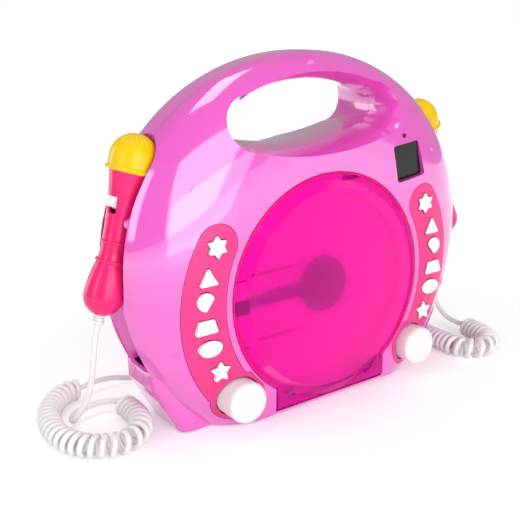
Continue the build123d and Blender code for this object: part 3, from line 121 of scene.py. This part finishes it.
paper = bpy.data.materials.new("white_paper")
paper.use_nodes = True
nodes, links = paper.node_tree.nodes, paper.node_tree.links
matt = nodes["Principled BSDF"]
matt.inputs["Base Color"].default_value = (0.9, 0.9, 0.9, 1)
matt.inputs["Roughness"].default_value = 0.9
matt.inputs["Specular IOR Level"].default_value = 0.1
glow = nodes.new("ShaderNodeEmission")
glow.inputs["Color"].default_value = (1, 1, 1, 1)
place = nodes.new("ShaderNodeTexCoord")
distance = nodes.new("ShaderNodeVectorMath")
distance.operation = "LENGTH"
links.new(place.outputs["Object"], distance.inputs[0])
lift = faded(
    nodes, links, distance.outputs["Value"], NEAR_FLOOR, FAR_FLOOR, NEAR_LIFT, FAR_LIFT
)
links.new(lift, glow.inputs["Strength"])
lifted = nodes.new("ShaderNodeAddShader")
links.new(matt.outputs[0], lifted.inputs[0])
links.new(glow.outputs[0], lifted.inputs[1])
ray = nodes.new("ShaderNodeLightPath")
direct = either_of(
    nodes, links, ray.outputs["Is Camera Ray"], ray.outputs["Is Transmission Ray"]
)
chosen = nodes.new("ShaderNodeMixShader")
links.new(
    either_of(nodes, links, direct, ray.outputs["Is Glossy Ray"]), chosen.inputs[0]
)
links.new(matt.outputs[0], chosen.inputs[1])
links.new(lifted.outputs[0], chosen.inputs[2])
links.new(chosen.outputs[0], nodes["Material Output"].inputs["Surface"])

table_mesh = bpy.data.meshes.new("table")
table_mesh.from_pydata([(-6, -6, 0), (6, -6, 0), (6, 6, 0), (-6, 6, 0)], [], [(0, 1, 2, 3)])
table = bpy.data.objects.new("table", table_mesh)
bpy.context.scene.collection.objects.link(table)
table_mesh.materials.append(paper)

world = bpy.data.worlds.new("studio")
bpy.context.scene.world = world
world.use_nodes = True
nodes, links = world.node_tree.nodes, world.node_tree.links
room = nodes["Background"]
room.inputs["Color"].default_value = (1, 1, 1, 1)
room.inputs["Strength"].default_value = ROOM_LIGHT
seen = nodes.new("ShaderNodeBackground")
seen.inputs["Color"].default_value = (1, 1, 1, 1)
seen.inputs["Strength"].default_value = 1.0
ray = nodes.new("ShaderNodeLightPath")
mix = nodes.new("ShaderNodeMixShader")
direct = either_of(
    nodes, links, ray.outputs["Is Camera Ray"], ray.outputs["Is Transmission Ray"]
)
links.new(direct, mix.inputs[0])
links.new(room.outputs[0], mix.inputs[1])
links.new(seen.outputs[0], mix.inputs[2])
links.new(mix.outputs[0], nodes["World Output"].inputs["Surface"])


# ---- Curly cords ----------------------------------------------------------------------------
# White vinyl cords, 3.8 mm thick. Each leaves its microphone's foot, hangs to the table, lies
# there in springy curls 15.8 mm across and goes back into the case at its gland. One vinyl tube
# is extruded over the wires and wound warm on a rod, so the curls fan open where the cord bends.
def millimetres(points):
    """Points written in millimetres, as places in metres."""
    return [Vector(point) / 1000 for point in points]


CORD_DIAMETER = 0.0038
CURL_DIAMETER = 0.0158
CURL_RUN_OUT = 0.009
LEFT_CURLS, RIGHT_CURLS = 33, 34
CURL_RADIUS = (CURL_DIAMETER - CORD_DIAMETER) / 2
CURL_LEVEL = CURL_DIAMETER / 2 * 1000
LEFT_LEAD = [
    (-149.6, 6.5, 72.0), (-151, 9, 58), (-152, 13, 42), (-154.5, 19, 27), (-158.8, 24.8, 16.5),
    (-160.5, 31, 10.2), (-158.9, 39.5, 8.2), (-154.2, 45.9, 7.9), (-147.03, 49.44, 7.9),
]
LEFT_COIL = [
    (-139, 49.8), (-129.5, 52.6), (-121.8, 39), (-121.2, 16), (-128, -3), (-143.5, -11), (-160, -5),
    (-171.5, 11), (-174, 32), (-169.5, 54), (-158, 72), (-142, 83), (-122, 84),
]
LEFT_TAIL = [
    (-113.03, 84.74, 7.9), (-96, 84, 2.8), (-83, 76, 3.4), (-73, 65.5, 13), (-68, 53.5, 23),
]
RIGHT_LEAD = [
    (149.6, 6.5, 72.0), (151.5, 11, 60), (154, 19, 47), (157.5, 26.5, 33), (159.8, 29, 18.5),
    (159.934, 16.956, 7.9),
]
RIGHT_COIL = [
    (159, 7), (157.5, -10), (155, -24), (153.5, -34.6), (144.1, -44), (130.9, -44), (121.5, -34.6),
    (121.5, -17), (122.5, 2), (123, 22), (122, 42), (114, 59), (102, 69), (88, 71.5),
]
RIGHT_TAIL = [
    (80.693, 73.197, 7.9), (72.5, 71.3, 9.8), (66.8, 65.5, 14.5), (66, 57.3, 19.8), (68, 51, 23),
]
GLAND_END = (68, 43, 23)
MIC_FOOT = (146.58, 6.5, 81.52)


def spline_points(name, points):
    """The smooth line that a cord's route points control, as closely spaced points."""
    line = bpy.data.curves.new(name, "CURVE")
    line.dimensions = "3D"
    spline = line.splines.new("NURBS")
    spline.points.add(len(points) - 1)
    for point, place in zip(spline.points, millimetres(points)):
        point.co = (*place, 1)
    spline.order_u = 3
    spline.use_endpoint_u = True
    spline.resolution_u = 24
    holder = bpy.data.objects.new(name, line)
    bpy.context.scene.collection.objects.link(holder)
    mesh = bpy.data.meshes.new_from_object(holder)
    places = [vertex.co.copy() for vertex in mesh.vertices]
    bpy.data.objects.remove(holder)
    bpy.data.meshes.remove(mesh)
    bpy.data.curves.remove(line)
    return places


def running_length(points):
    """The distance along a line at each of its points."""
    reach = [0.0]
    for a, b in zip(points, points[1:]):
        reach.append(reach[-1] + (b - a).length)
    return reach


def between(value, scale, results):
    """Reads a result off where a rising scale reaches a value."""
    value = min(max(value, scale[0]), scale[-1])
    low, high = 0, len(scale) - 1
    while high - low > 1:
        middle = (low + high) // 2
        if scale[middle] > value:
            high = middle
        else:
            low = middle
    share = (value - scale[low]) / max(scale[high] - scale[low], 1e-12)
    return results[low] * (1 - share) + results[high] * share


def curled(flat_route, curls, steps=20):
    """Curls wound round a flat route, evenly spaced along the inside of its bends."""
    line = spline_points("coil_route", [(x, y, CURL_LEVEL) for x, y in flat_route])
    reach = running_length(line)
    inside, before = [0.0], None
    for a, b in zip(line, line[1:]):
        leg = b - a
        turn = before.angle(leg) if before else 0.0
        inside.append(inside[-1] + leg.length - CURL_RADIUS * turn)
        before = leg
    first = between(CORD_DIAMETER, reach, inside)
    last = between(reach[-1] - CORD_DIAMETER, reach, inside)
    pitch = (last - first - 2 * CURL_RUN_OUT) / curls
    wound = [line[0]]
    for step in range(curls * steps + 1):
        turn = step / steps
        ramp = min(1.0, turn, curls - turn)
        radius = CURL_RADIUS * math.sin(math.pi / 2 * ramp) ** 2
        opening = 1 - (1 - min(1.0, turn)) ** 3
        closing = (1 - min(1.0, curls - turn)) ** 3
        place = between(first + pitch * turn + CURL_RUN_OUT * (opening + closing), inside, reach)
        heading = between(place + 0.0005, reach, line) - between(place - 0.0005, reach, line)
        sideways = heading.cross(Vector((0, 0, 1))).normalized()
        angle = math.tau * turn
        swing = sideways * math.cos(angle) + Vector((0, 0, 1)) * math.sin(angle)
        wound.append(between(place, reach, line) + swing * radius)
    wound.append(line[-1])
    return wound


def tube_mesh(name, points, radius, sides=12):
    """A closed round tube along points, without twist."""
    rings, faces = [], []
    heading = (points[1] - points[0]).normalized()
    across = heading.orthogonal().normalized()
    for index, point in enumerate(points):
        ahead_of = points[min(index + 1, len(points) - 1)] - points[max(index - 1, 0)]
        new_heading = ahead_of.normalized()
        across = heading.rotation_difference(new_heading) @ across
        across = (across - new_heading * across.dot(new_heading)).normalized()
        heading = new_heading
        other = heading.cross(across)
        for side in range(sides):
            angle = math.tau * side / sides
            rings.append(point + (across * math.cos(angle) + other * math.sin(angle)) * radius)
    for index in range(len(points) - 1):
        for side in range(sides):
            a, b = index * sides + side, index * sides + (side + 1) % sides
            faces.append((a, b, b + sides, a + sides))
    faces.append(tuple(reversed(range(sides))))
    end = (len(points) - 1) * sides
    faces.append(tuple(range(end, end + sides)))
    mesh = bpy.data.meshes.new(name)
    mesh.from_pydata([tuple(ring) for ring in rings], [], faces)
    mesh.shade_smooth()
    return mesh


def add_piece(name, mesh, material, body="root"):
    """Puts a mesh in the scene as one piece, riding on a body if one is named."""
    piece = bpy.data.objects.new(name, mesh)
    bpy.context.scene.collection.objects.link(piece)
    mesh.materials.clear()
    mesh.materials.append(material)
    if body:
        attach(piece, body)
    return piece


def soft_surface(
    name, colour, roughness, grain=900.0, depth=0.00001, tint=0.03, spread=0.05, gloss=0.3
):
    """A moulded surface: its colour drifts a little, and a fine grain breaks its shine."""
    material = bpy.data.materials.new(name)
    material.use_nodes = True
    nodes, links = material.node_tree.nodes, material.node_tree.links
    shader = nodes["Principled BSDF"]
    place = nodes.new("ShaderNodeTexCoord")
    drift = nodes.new("ShaderNodeTexNoise")
    drift.inputs["Scale"].default_value = 14.0
    drift.inputs["Detail"].default_value = 3.0
    shade = nodes.new("ShaderNodeValToRGB")
    shade.color_ramp.elements[0].color = (*[c * (1 - tint) for c in colour], 1)
    shade.color_ramp.elements[1].color = (*[min(1, c * (1 + tint)) for c in colour], 1)
    shade.color_ramp.elements[0].position = 0.35
    shade.color_ramp.elements[1].position = 0.65
    peel = nodes.new("ShaderNodeTexNoise")
    peel.inputs["Scale"].default_value = grain
    peel.inputs["Detail"].default_value = 4.0
    wear = nodes.new("ShaderNodeMapRange")
    wear.inputs["To Min"].default_value = max(0.02, roughness - spread)
    wear.inputs["To Max"].default_value = roughness + spread
    bump = nodes.new("ShaderNodeBump")
    bump.inputs["Strength"].default_value = 0.35
    bump.inputs["Distance"].default_value = depth
    links.new(place.outputs["Object"], drift.inputs["Vector"])
    links.new(place.outputs["Object"], peel.inputs["Vector"])
    links.new(drift.outputs["Fac"], shade.inputs["Fac"])
    links.new(drift.outputs["Fac"], wear.inputs["Value"])
    links.new(shade.outputs["Color"], shader.inputs["Base Color"])
    links.new(wear.outputs["Result"], shader.inputs["Roughness"])
    links.new(peel.outputs["Fac"], bump.inputs["Height"])
    links.new(bump.outputs["Normal"], shader.inputs["Normal"])
    shader.inputs["Specular IOR Level"].default_value = gloss
    return material


def rgb(red, green, blue):
    """A colour written as on a screen, made linear."""
    values = [channel / 255 for channel in (red, green, blue)]
    return tuple(v / 12.92 if v <= 0.04045 else ((v + 0.055) / 1.055) ** 2.4 for v in values)


vinyl = soft_surface("white_vinyl", rgb(244, 243, 241), 0.38, grain=1500.0, depth=0.00002)
for side, lead, coil, tail, curls in (
    ("left", LEFT_LEAD, LEFT_COIL, LEFT_TAIL, LEFT_CURLS),
    ("right", RIGHT_LEAD, RIGHT_COIL, RIGHT_TAIL, RIGHT_CURLS),
):
    sign = -1 if side == "left" else 1
    exit_point = (sign * MIC_FOOT[0], MIC_FOOT[1], MIC_FOOT[2])
    lead_end = (*coil[0], CURL_LEVEL)
    tail_start = (*coil[-1], CURL_LEVEL)
    gland = (sign * GLAND_END[0], GLAND_END[1], GLAND_END[2])
    hanging = spline_points("lead_route", [exit_point] + lead + [lead_end])
    lying = spline_points("tail_route", [tail_start] + tail + [gland])
    route = hanging[:-1] + curled(coil, curls)[:-1] + lying
    tube = tube_mesh(side + "_curly_cord", route, CORD_DIAMETER / 2)
    cord_piece = add_piece(side + "_curly_cord", tube, vinyl, body=None)
    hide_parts(side + "_mic_lead", side + "_cord_curls", side + "_cord_tail")
    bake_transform(cord_piece)


# ---- Case -----------------------------------------------------------------------------------
# Two shells of pink ABS, moulded to a high gloss and screwed together from the back. The front
# shell carries the handle's front and the pockets; a fine line shows where they meet.
def dress(node, material):
    """Gives a carried-over node its finish."""
    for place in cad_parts[node].material_slots:
        place.material = material


case_plastic = soft_surface(
    "case_pink_plastic", rgb(238, 88, 200), 0.16, grain=60.0, depth=0.000006, tint=0.02, gloss=0.5
)
polish = case_plastic.node_tree.nodes["Principled BSDF"].inputs
polish["Coat Weight"].default_value = 1.0
polish["Coat IOR"].default_value = 1.8
polish["Coat Roughness"].default_value = 0.06
for node in ("front_shell", "rear_shell", "battery_tray", "battery_door"):
    dress(node, case_plastic)
for side in ("left", "right"):
    dress(side + "_mic_clip", case_plastic)


# ---- Button inlays --------------------------------------------------------------------------
# Two curved inlays of hot pink plastic, heat-staked into pockets beside the lid. Each rings its
# knob at the bottom and has a hole for every button. A dark sheet in its gap is painted shade.
GAP_SHADE_REACH = 0.00026    # how far the painted shade is let out into the inlay's gap
GAP_SHADE_SINK = 0.0004      # and how far it lies below the inlay's face
SIDEWAYS = 0.3          # a face leaning at least this much sideways belongs to the outline
inlay_plastic = soft_surface(
    "inlay_hot_pink", rgb(245, 62, 140), 0.24, grain=800.0, depth=0.000008
)
gap_shade = soft_surface("gap_shade", rgb(92, 8, 52), 0.7, grain=900.0, tint=0.1, gloss=0.1)


def placed_copy(node):
    """A node's mesh on its own, where the node lies."""
    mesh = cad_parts[node].data.copy()
    mesh.transform(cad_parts[node].matrix_world)
    return mesh


def open_welded(mesh):
    """A mesh opened for editing, with its faces joined at their edges."""
    form = bmesh.new()
    form.from_mesh(mesh)
    bmesh.ops.remove_doubles(form, verts=form.verts, dist=0.00001)
    form.normal_update()
    return form


def close_into(form, mesh):
    """Puts the edited form back into its mesh."""
    form.to_mesh(mesh)
    form.free()
    return mesh


def gap_shade_liner(node):
    """Painted shade in the pocket's gap: the inlay's own outline, let out into its gap and set
    deeper.
    """
    mesh = placed_copy(node)
    form = open_welded(mesh)
    for vertex in form.verts:
        outward = Vector((vertex.normal.x, 0, vertex.normal.z))
        if outward.length > SIDEWAYS:
            vertex.co += outward.normalized() * GAP_SHADE_REACH
        vertex.co.y += GAP_SHADE_SINK
    return close_into(form, mesh)


# Each inlay gets a dark sheet of painted shade in the gap round it.
for side in ("left", "right"):
    dress(side + "_button_panel", inlay_plastic)
    add_piece(side + "_inlay_seam", gap_shade_liner(side + "_button_panel"), gap_shade)


# ---- Buttons and knobs ----------------------------------------------------------------------
# White plastic caps in six nursery shapes, pressed against springs behind the inlay, and two
# turning knobs with rounded faces. A thin dark ring round every button's hole is painted shade.
SHADE_RING_REACH = 0.00062     # how far the painted shade ring reaches past the button
SHADE_RING_PROUD = 0.00006     # how far it stands on the inlay
BESIDE_SHADE_RING = 0.0006     # how far past the shade ring the inlay's height is read
BEFORE_MACHINE = -0.2   # a place in front of everything, where the reading starts
BUTTON_SHAPES = ("six_point_star", "triangle", "drop", "trapezium", "oval", "five_point_star")
white_plastic = soft_surface(
    "white_button_plastic", rgb(246, 244, 245), 0.28, grain=1200.0, tint=0.015
)


def button_shade_ring(node, inlay):
    """Painted shade round a button's hole: its outline let out past the gap, flush on the inlay."""
    mesh = placed_copy(node)
    form = open_welded(mesh)
    heights = {}
    for vertex in form.verts:
        outward = Vector((vertex.normal.x, 0, vertex.normal.z))
        if outward.length > SIDEWAYS:
            outward.normalize()
            vertex.co += outward * SHADE_RING_REACH
            before = Vector((vertex.co.x, BEFORE_MACHINE, vertex.co.z))
            hit = inlay.ray_cast(before + outward * BESIDE_SHADE_RING, (0, 1, 0))[0]
            if hit:
                heights[vertex] = hit.y - SHADE_RING_PROUD
    middle = sum(heights.values()) / len(heights)
    for vertex in form.verts:
        vertex.co.y = max(vertex.co.y, heights.get(vertex, middle))
    return close_into(form, mesh)


for side in ("left", "right"):
    panel = placed_copy(side + "_button_panel")
    inlay = BVHTree.FromPolygons(
        [vertex.co for vertex in panel.vertices], [face.vertices for face in panel.polygons]
    )
    for shape in BUTTON_SHAPES:
        button = f"{side}_{shape}_button"
        dress(button, white_plastic)
        # A dark ring of painted shade round the button's hole.
        add_piece(f"{side}_{shape}_seam", button_shade_ring(button, inlay), gap_shade)
    dress(side + "_knob", white_plastic)
    dress(side + "_mic_switch", white_plastic)
    dress(side + "_mic_relief", vinyl)
dress("cord_glands", vinyl)
dress("sled_gear", white_plastic)


# ---- Disc lid -------------------------------------------------------------------------------
# A shallow dish moulded in clear magenta styrene. Its flat top is frosted, its sloping side is
# polished and the tongue over the hinge is thicker. A deeper line runs round its open edge.
LID_HEIGHT = 0.083      # the middle of the lid, above the table
LID_FRONT = -0.033      # where its open edge lies
FROST_END = 0.0655      # the frosted top ends here, measured from the middle
POLISH_START = 0.0665
DISH_END = 0.0752       # the tongue begins outside the round dish
TONGUE_START = 0.0758
FROST_ROUGHNESS, POLISH_ROUGHNESS = 0.42, 0.07
FROST_ALPHA, POLISH_ALPHA, TONGUE_ALPHA = 0.46, 0.36, 0.42
EDGE_RADIUS = 0.0747
EDGE_THICKNESS = 0.0007
EDGE_START, EDGE_SWEEP, EDGE_STEPS = -52, 284, 160    # degrees round the dish, to the tongue
lid_plastic = bpy.data.materials.new("clear_magenta_lid")
lid_plastic.use_nodes = True
nodes, links = lid_plastic.node_tree.nodes, lid_plastic.node_tree.links
clear = nodes["Principled BSDF"]
clear.inputs["Base Color"].default_value = (*rgb(255, 3, 192), 1)
clear.inputs["Transmission Weight"].default_value = 0.5
clear.inputs["IOR"].default_value = 1.35
clear.inputs["Specular IOR Level"].default_value = 0.12
place = nodes.new("ShaderNodeTexCoord")
apart = nodes.new("ShaderNodeSeparateXYZ")
rise = nodes.new("ShaderNodeMath")
rise.operation = "SUBTRACT"
rise.inputs[1].default_value = LID_HEIGHT
flat = nodes.new("ShaderNodeCombineXYZ")
reach = nodes.new("ShaderNodeVectorMath")
reach.operation = "LENGTH"
links.new(place.outputs["Object"], apart.inputs[0])
links.new(apart.outputs["Z"], rise.inputs[0])
links.new(apart.outputs["X"], flat.inputs["X"])
links.new(rise.outputs[0], flat.inputs["Y"])
links.new(flat.outputs[0], reach.inputs[0])
from_middle = reach.outputs["Value"]
frost = faded(
    nodes, links, from_middle, FROST_END, POLISH_START, FROST_ROUGHNESS, POLISH_ROUGHNESS
)
milk = faded(nodes, links, from_middle, FROST_END, POLISH_START, FROST_ALPHA, POLISH_ALPHA)
tongue = faded(nodes, links, from_middle, DISH_END, TONGUE_START, 0.0, TONGUE_ALPHA)
thick = nodes.new("ShaderNodeMath")
thick.operation = "ADD"
links.new(milk, thick.inputs[0])
links.new(tongue, thick.inputs[1])
links.new(thick.outputs[0], clear.inputs["Alpha"])
links.new(frost, clear.inputs["Roughness"])
dress("disc_lid", lid_plastic)

edge_plastic = soft_surface("lid_edge_magenta", rgb(228, 4, 112), 0.2, grain=900.0, tint=0.05)
rim = []
for step in range(EDGE_STEPS + 1):
    angle = math.radians(EDGE_START + EDGE_SWEEP * step / EDGE_STEPS)
    level = LID_HEIGHT + EDGE_RADIUS * math.sin(angle)
    rim.append(Vector((EDGE_RADIUS * math.cos(angle), LID_FRONT, level)))
add_piece("lid_edge", tube_mesh("lid_edge", rim, EDGE_THICKNESS), edge_plastic, "lid")


# ---- Disc deck and drive --------------------------------------------------------------------
# The pink deck under the lid, with its dark turntable, the pickup in its slot between two rails
# and a floor behind the hinge. The steel plate, motors and boards are screwed on behind it, and
# the lid's spring wire bends across the hinge.
RAIL_LEVELS = (100.0, 56.0)     # millimetres above the table, as all blocks here
SLOT_LEVELS = (78.2, 87.8)
deck_plastic = soft_surface("deck_pink_plastic", rgb(250, 34, 190), 0.4, grain=900.0, gloss=0.15)
black_plastic = soft_surface("black_plastic", rgb(38, 30, 36), 0.45, grain=1200.0, tint=0.08)
steel = soft_surface("bright_steel", rgb(176, 176, 180), 0.28, grain=2500.0, spread=0.08)
dark_steel = soft_surface("dark_spring_steel", rgb(92, 84, 92), 0.35, grain=2500.0)
for metal in (steel, dark_steel):
    metal.node_tree.nodes["Principled BSDF"].inputs["Metallic"].default_value = 1.0
board = soft_surface("circuit_board", rgb(36, 96, 52), 0.4, grain=600.0, tint=0.2)
rubber = soft_surface("black_rubber", rgb(28, 28, 30), 0.75, grain=900.0, tint=0.1)
dress("disc_deck", deck_plastic)


def slab(name, low, high):
    """A flat block between two corners in millimetres, with its edges just broken."""
    form = bmesh.new()
    bmesh.ops.create_cube(form, size=1)
    low, high = Vector(low) / 1000, Vector(high) / 1000
    for vertex in form.verts:
        vertex.co = Vector([low[i] if vertex.co[i] < 0 else high[i] for i in range(3)])
    least = min(high - low)
    bmesh.ops.bevel(form, geom=form.edges[:], offset=least * 0.2, segments=2, affect="EDGES")
    mesh = bpy.data.meshes.new(name)
    return close_into(form, mesh)


rail_plastic = soft_surface("rail_dark_pink", rgb(140, 10, 90), 0.5, grain=900.0)
low, high = SLOT_LEVELS
# The slot's end and wall slabs are painted shade: black sheets on the deck's flange and the well's
# wall.
blocks = [
    ("slot_end_shade", (-74.0, -30.9, low), (-62.0, -30.62, high), black_plastic),
    ("slot_wall_shade", (-62.4, -30.6, low), (-61.9, -24.0, high), black_plastic),
]
for level in RAIL_LEVELS:
    blocks += [
        ("deck_rail", (-58.0, -25.4, level - 0.7), (-24.0, -23.98, level + 0.7), rail_plastic),
        ("deck_rail", (-72.0, -30.9, level - 0.5), (-62.8, -30.5, level + 0.5), rail_plastic),
    ]
blocks += [
    ("catch_back", (12.5, -24.7, 150.8), (27.5, -24.1, 155.6), deck_plastic),
    ("hinge_trough", (-45.5, -20.5, 6.5), (45.5, -19.3, 27.5), deck_plastic),
]
for name, start, end, material in blocks:
    add_piece(name, slab(name, start, end), material)
dress("lid_catch", deck_plastic)
for node in ("disc_hub", "laser_pickup", "display_module", "speakers", "rear_sockets"):
    dress(node, black_plastic)
for side in ("left", "right"):
    dress(side + "_mic_capsule", black_plastic)
for node in (
    "lid_hinge_pins", "spindle_motor", "mechanism_plate", "sled_motor", "knob_controls",
    "case_screws",
):
    dress(node, steel)
spring_wire = add_piece("lid_spring_wire", placed_copy("lid_springs"), dark_steel, body=None)
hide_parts("lid_springs")
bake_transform(spring_wire)
for node in ("key_boards", "main_board"):
    dress(node, board)
dress("rubber_feet", rubber)


# ---- Window and light -----------------------------------------------------------------------
# A smoked window glued over the display, and the red lens of the power light above it.
smoked = soft_surface(
    "smoked_window", rgb(22, 25, 24), 0.08, grain=300.0, depth=0.000005, tint=0.1, spread=0.02
)
lens = soft_surface("red_lens", rgb(96, 12, 30), 0.12, grain=900.0, tint=0.1)
dress("display_window", smoked)
dress("power_light", lens)


# ---- Microphones ----------------------------------------------------------------------------
# Two toy microphones: a strong pink handle with two grip rings, blow-moulded and glossy, under
# a yellow dome that snaps into its neck. A row of short slots round the dome lets the voice in.
MIC_RIM = (0.1165, 0.0065, 0.1704)
MIC_LEAN = math.radians(18.7)
DOME_RADIUS = 14.8
DOME_RISE = 7.4
DOME_SLOTS = 22
SLOT_STEPS = 8          # points round the dome for each slot
SLOT_DEPTH = 0.55
SLOT_LOW, SLOT_HIGH = 34, 56    # degrees up the dome
SLOT_SHARE = 0.2        # half a slot's width, as a share of its step round the dome
DOME_RINGS = 30
RIM_PROFILE = [
    (0, -1.3), (12.2, -1.3), (14.9, -1.35), (15.4, -1.15), (15.75, -0.6), (15.8, 0.1), (15.6, 0.8),
    (15.1, 1.25), (14.75, 1.35), (14.62, 1.6), (14.68, 2.2), (14.75, 4.2), (14.8, 6.4),
]


def mic_dome():
    """The dome of the right microphone: a turned rim and ball, with slots pressed into it."""
    around = DOME_SLOTS * SLOT_STEPS
    profile = list(RIM_PROFILE)
    for step in range(DOME_RINGS + 1):
        angle = math.pi / 2 * step / DOME_RINGS
        profile.append((DOME_RADIUS * math.cos(angle), DOME_RISE + DOME_RADIUS * math.sin(angle)))
    out = Vector((math.cos(MIC_LEAN), 0, math.sin(MIC_LEAN)))
    up = Vector((-math.sin(MIC_LEAN), 0, math.cos(MIC_LEAN)))
    back = Vector((0, 1, 0))
    verts, faces = [], []
    for radius, height in profile:
        rise = math.degrees(math.atan2(height - DOME_RISE, max(radius, 1e-6)))
        for step in range(around):
            share = (step % SLOT_STEPS) / SLOT_STEPS
            pressed = 0.0
            if SLOT_LOW < rise < SLOT_HIGH and abs(share - 0.5) < SLOT_SHARE:
                pressed = SLOT_DEPTH
            angle = math.tau * step / around
            level = radius - pressed * math.cos(math.radians(rise))
            tall = height - pressed * math.sin(math.radians(rise))
            spot = (out * math.cos(angle) + back * math.sin(angle)) * level + up * tall
            verts.append(tuple(Vector(MIC_RIM) + spot / 1000))
    for ring in range(len(profile) - 1):
        for step in range(around):
            a, b = ring * around + step, ring * around + (step + 1) % around
            faces.append((a, b, b + around, a + around))
    mesh = bpy.data.meshes.new("mic_dome")
    mesh.from_pydata(verts, [], faces)
    form = open_welded(mesh)
    bmesh.ops.recalc_face_normals(form, faces=form.faces)
    close_into(form, mesh)
    mesh.shade_smooth()
    return mesh


def left_copy(mesh):
    """A mirrored copy for the left side."""
    copy = mesh.copy()
    copy.transform(Matrix.Scale(-1, 4, (1, 0, 0)))
    copy.flip_normals()
    return copy


handle_plastic = soft_surface("mic_strong_pink", rgb(247, 38, 120), 0.2, grain=700.0, depth=0.00001)
head_plastic = soft_surface("mic_yellow", rgb(246, 204, 6), 0.24, grain=900.0, depth=0.00001)
dome = mic_dome()
for side in ("left", "right"):
    dress(side + "_mic_handle", handle_plastic)
    dome_mesh = left_copy(dome) if side == "left" else dome
    dome_piece = add_piece(side + "_mic_dome", dome_mesh, head_plastic, side + "_mic")
    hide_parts(side + "_mic_head")
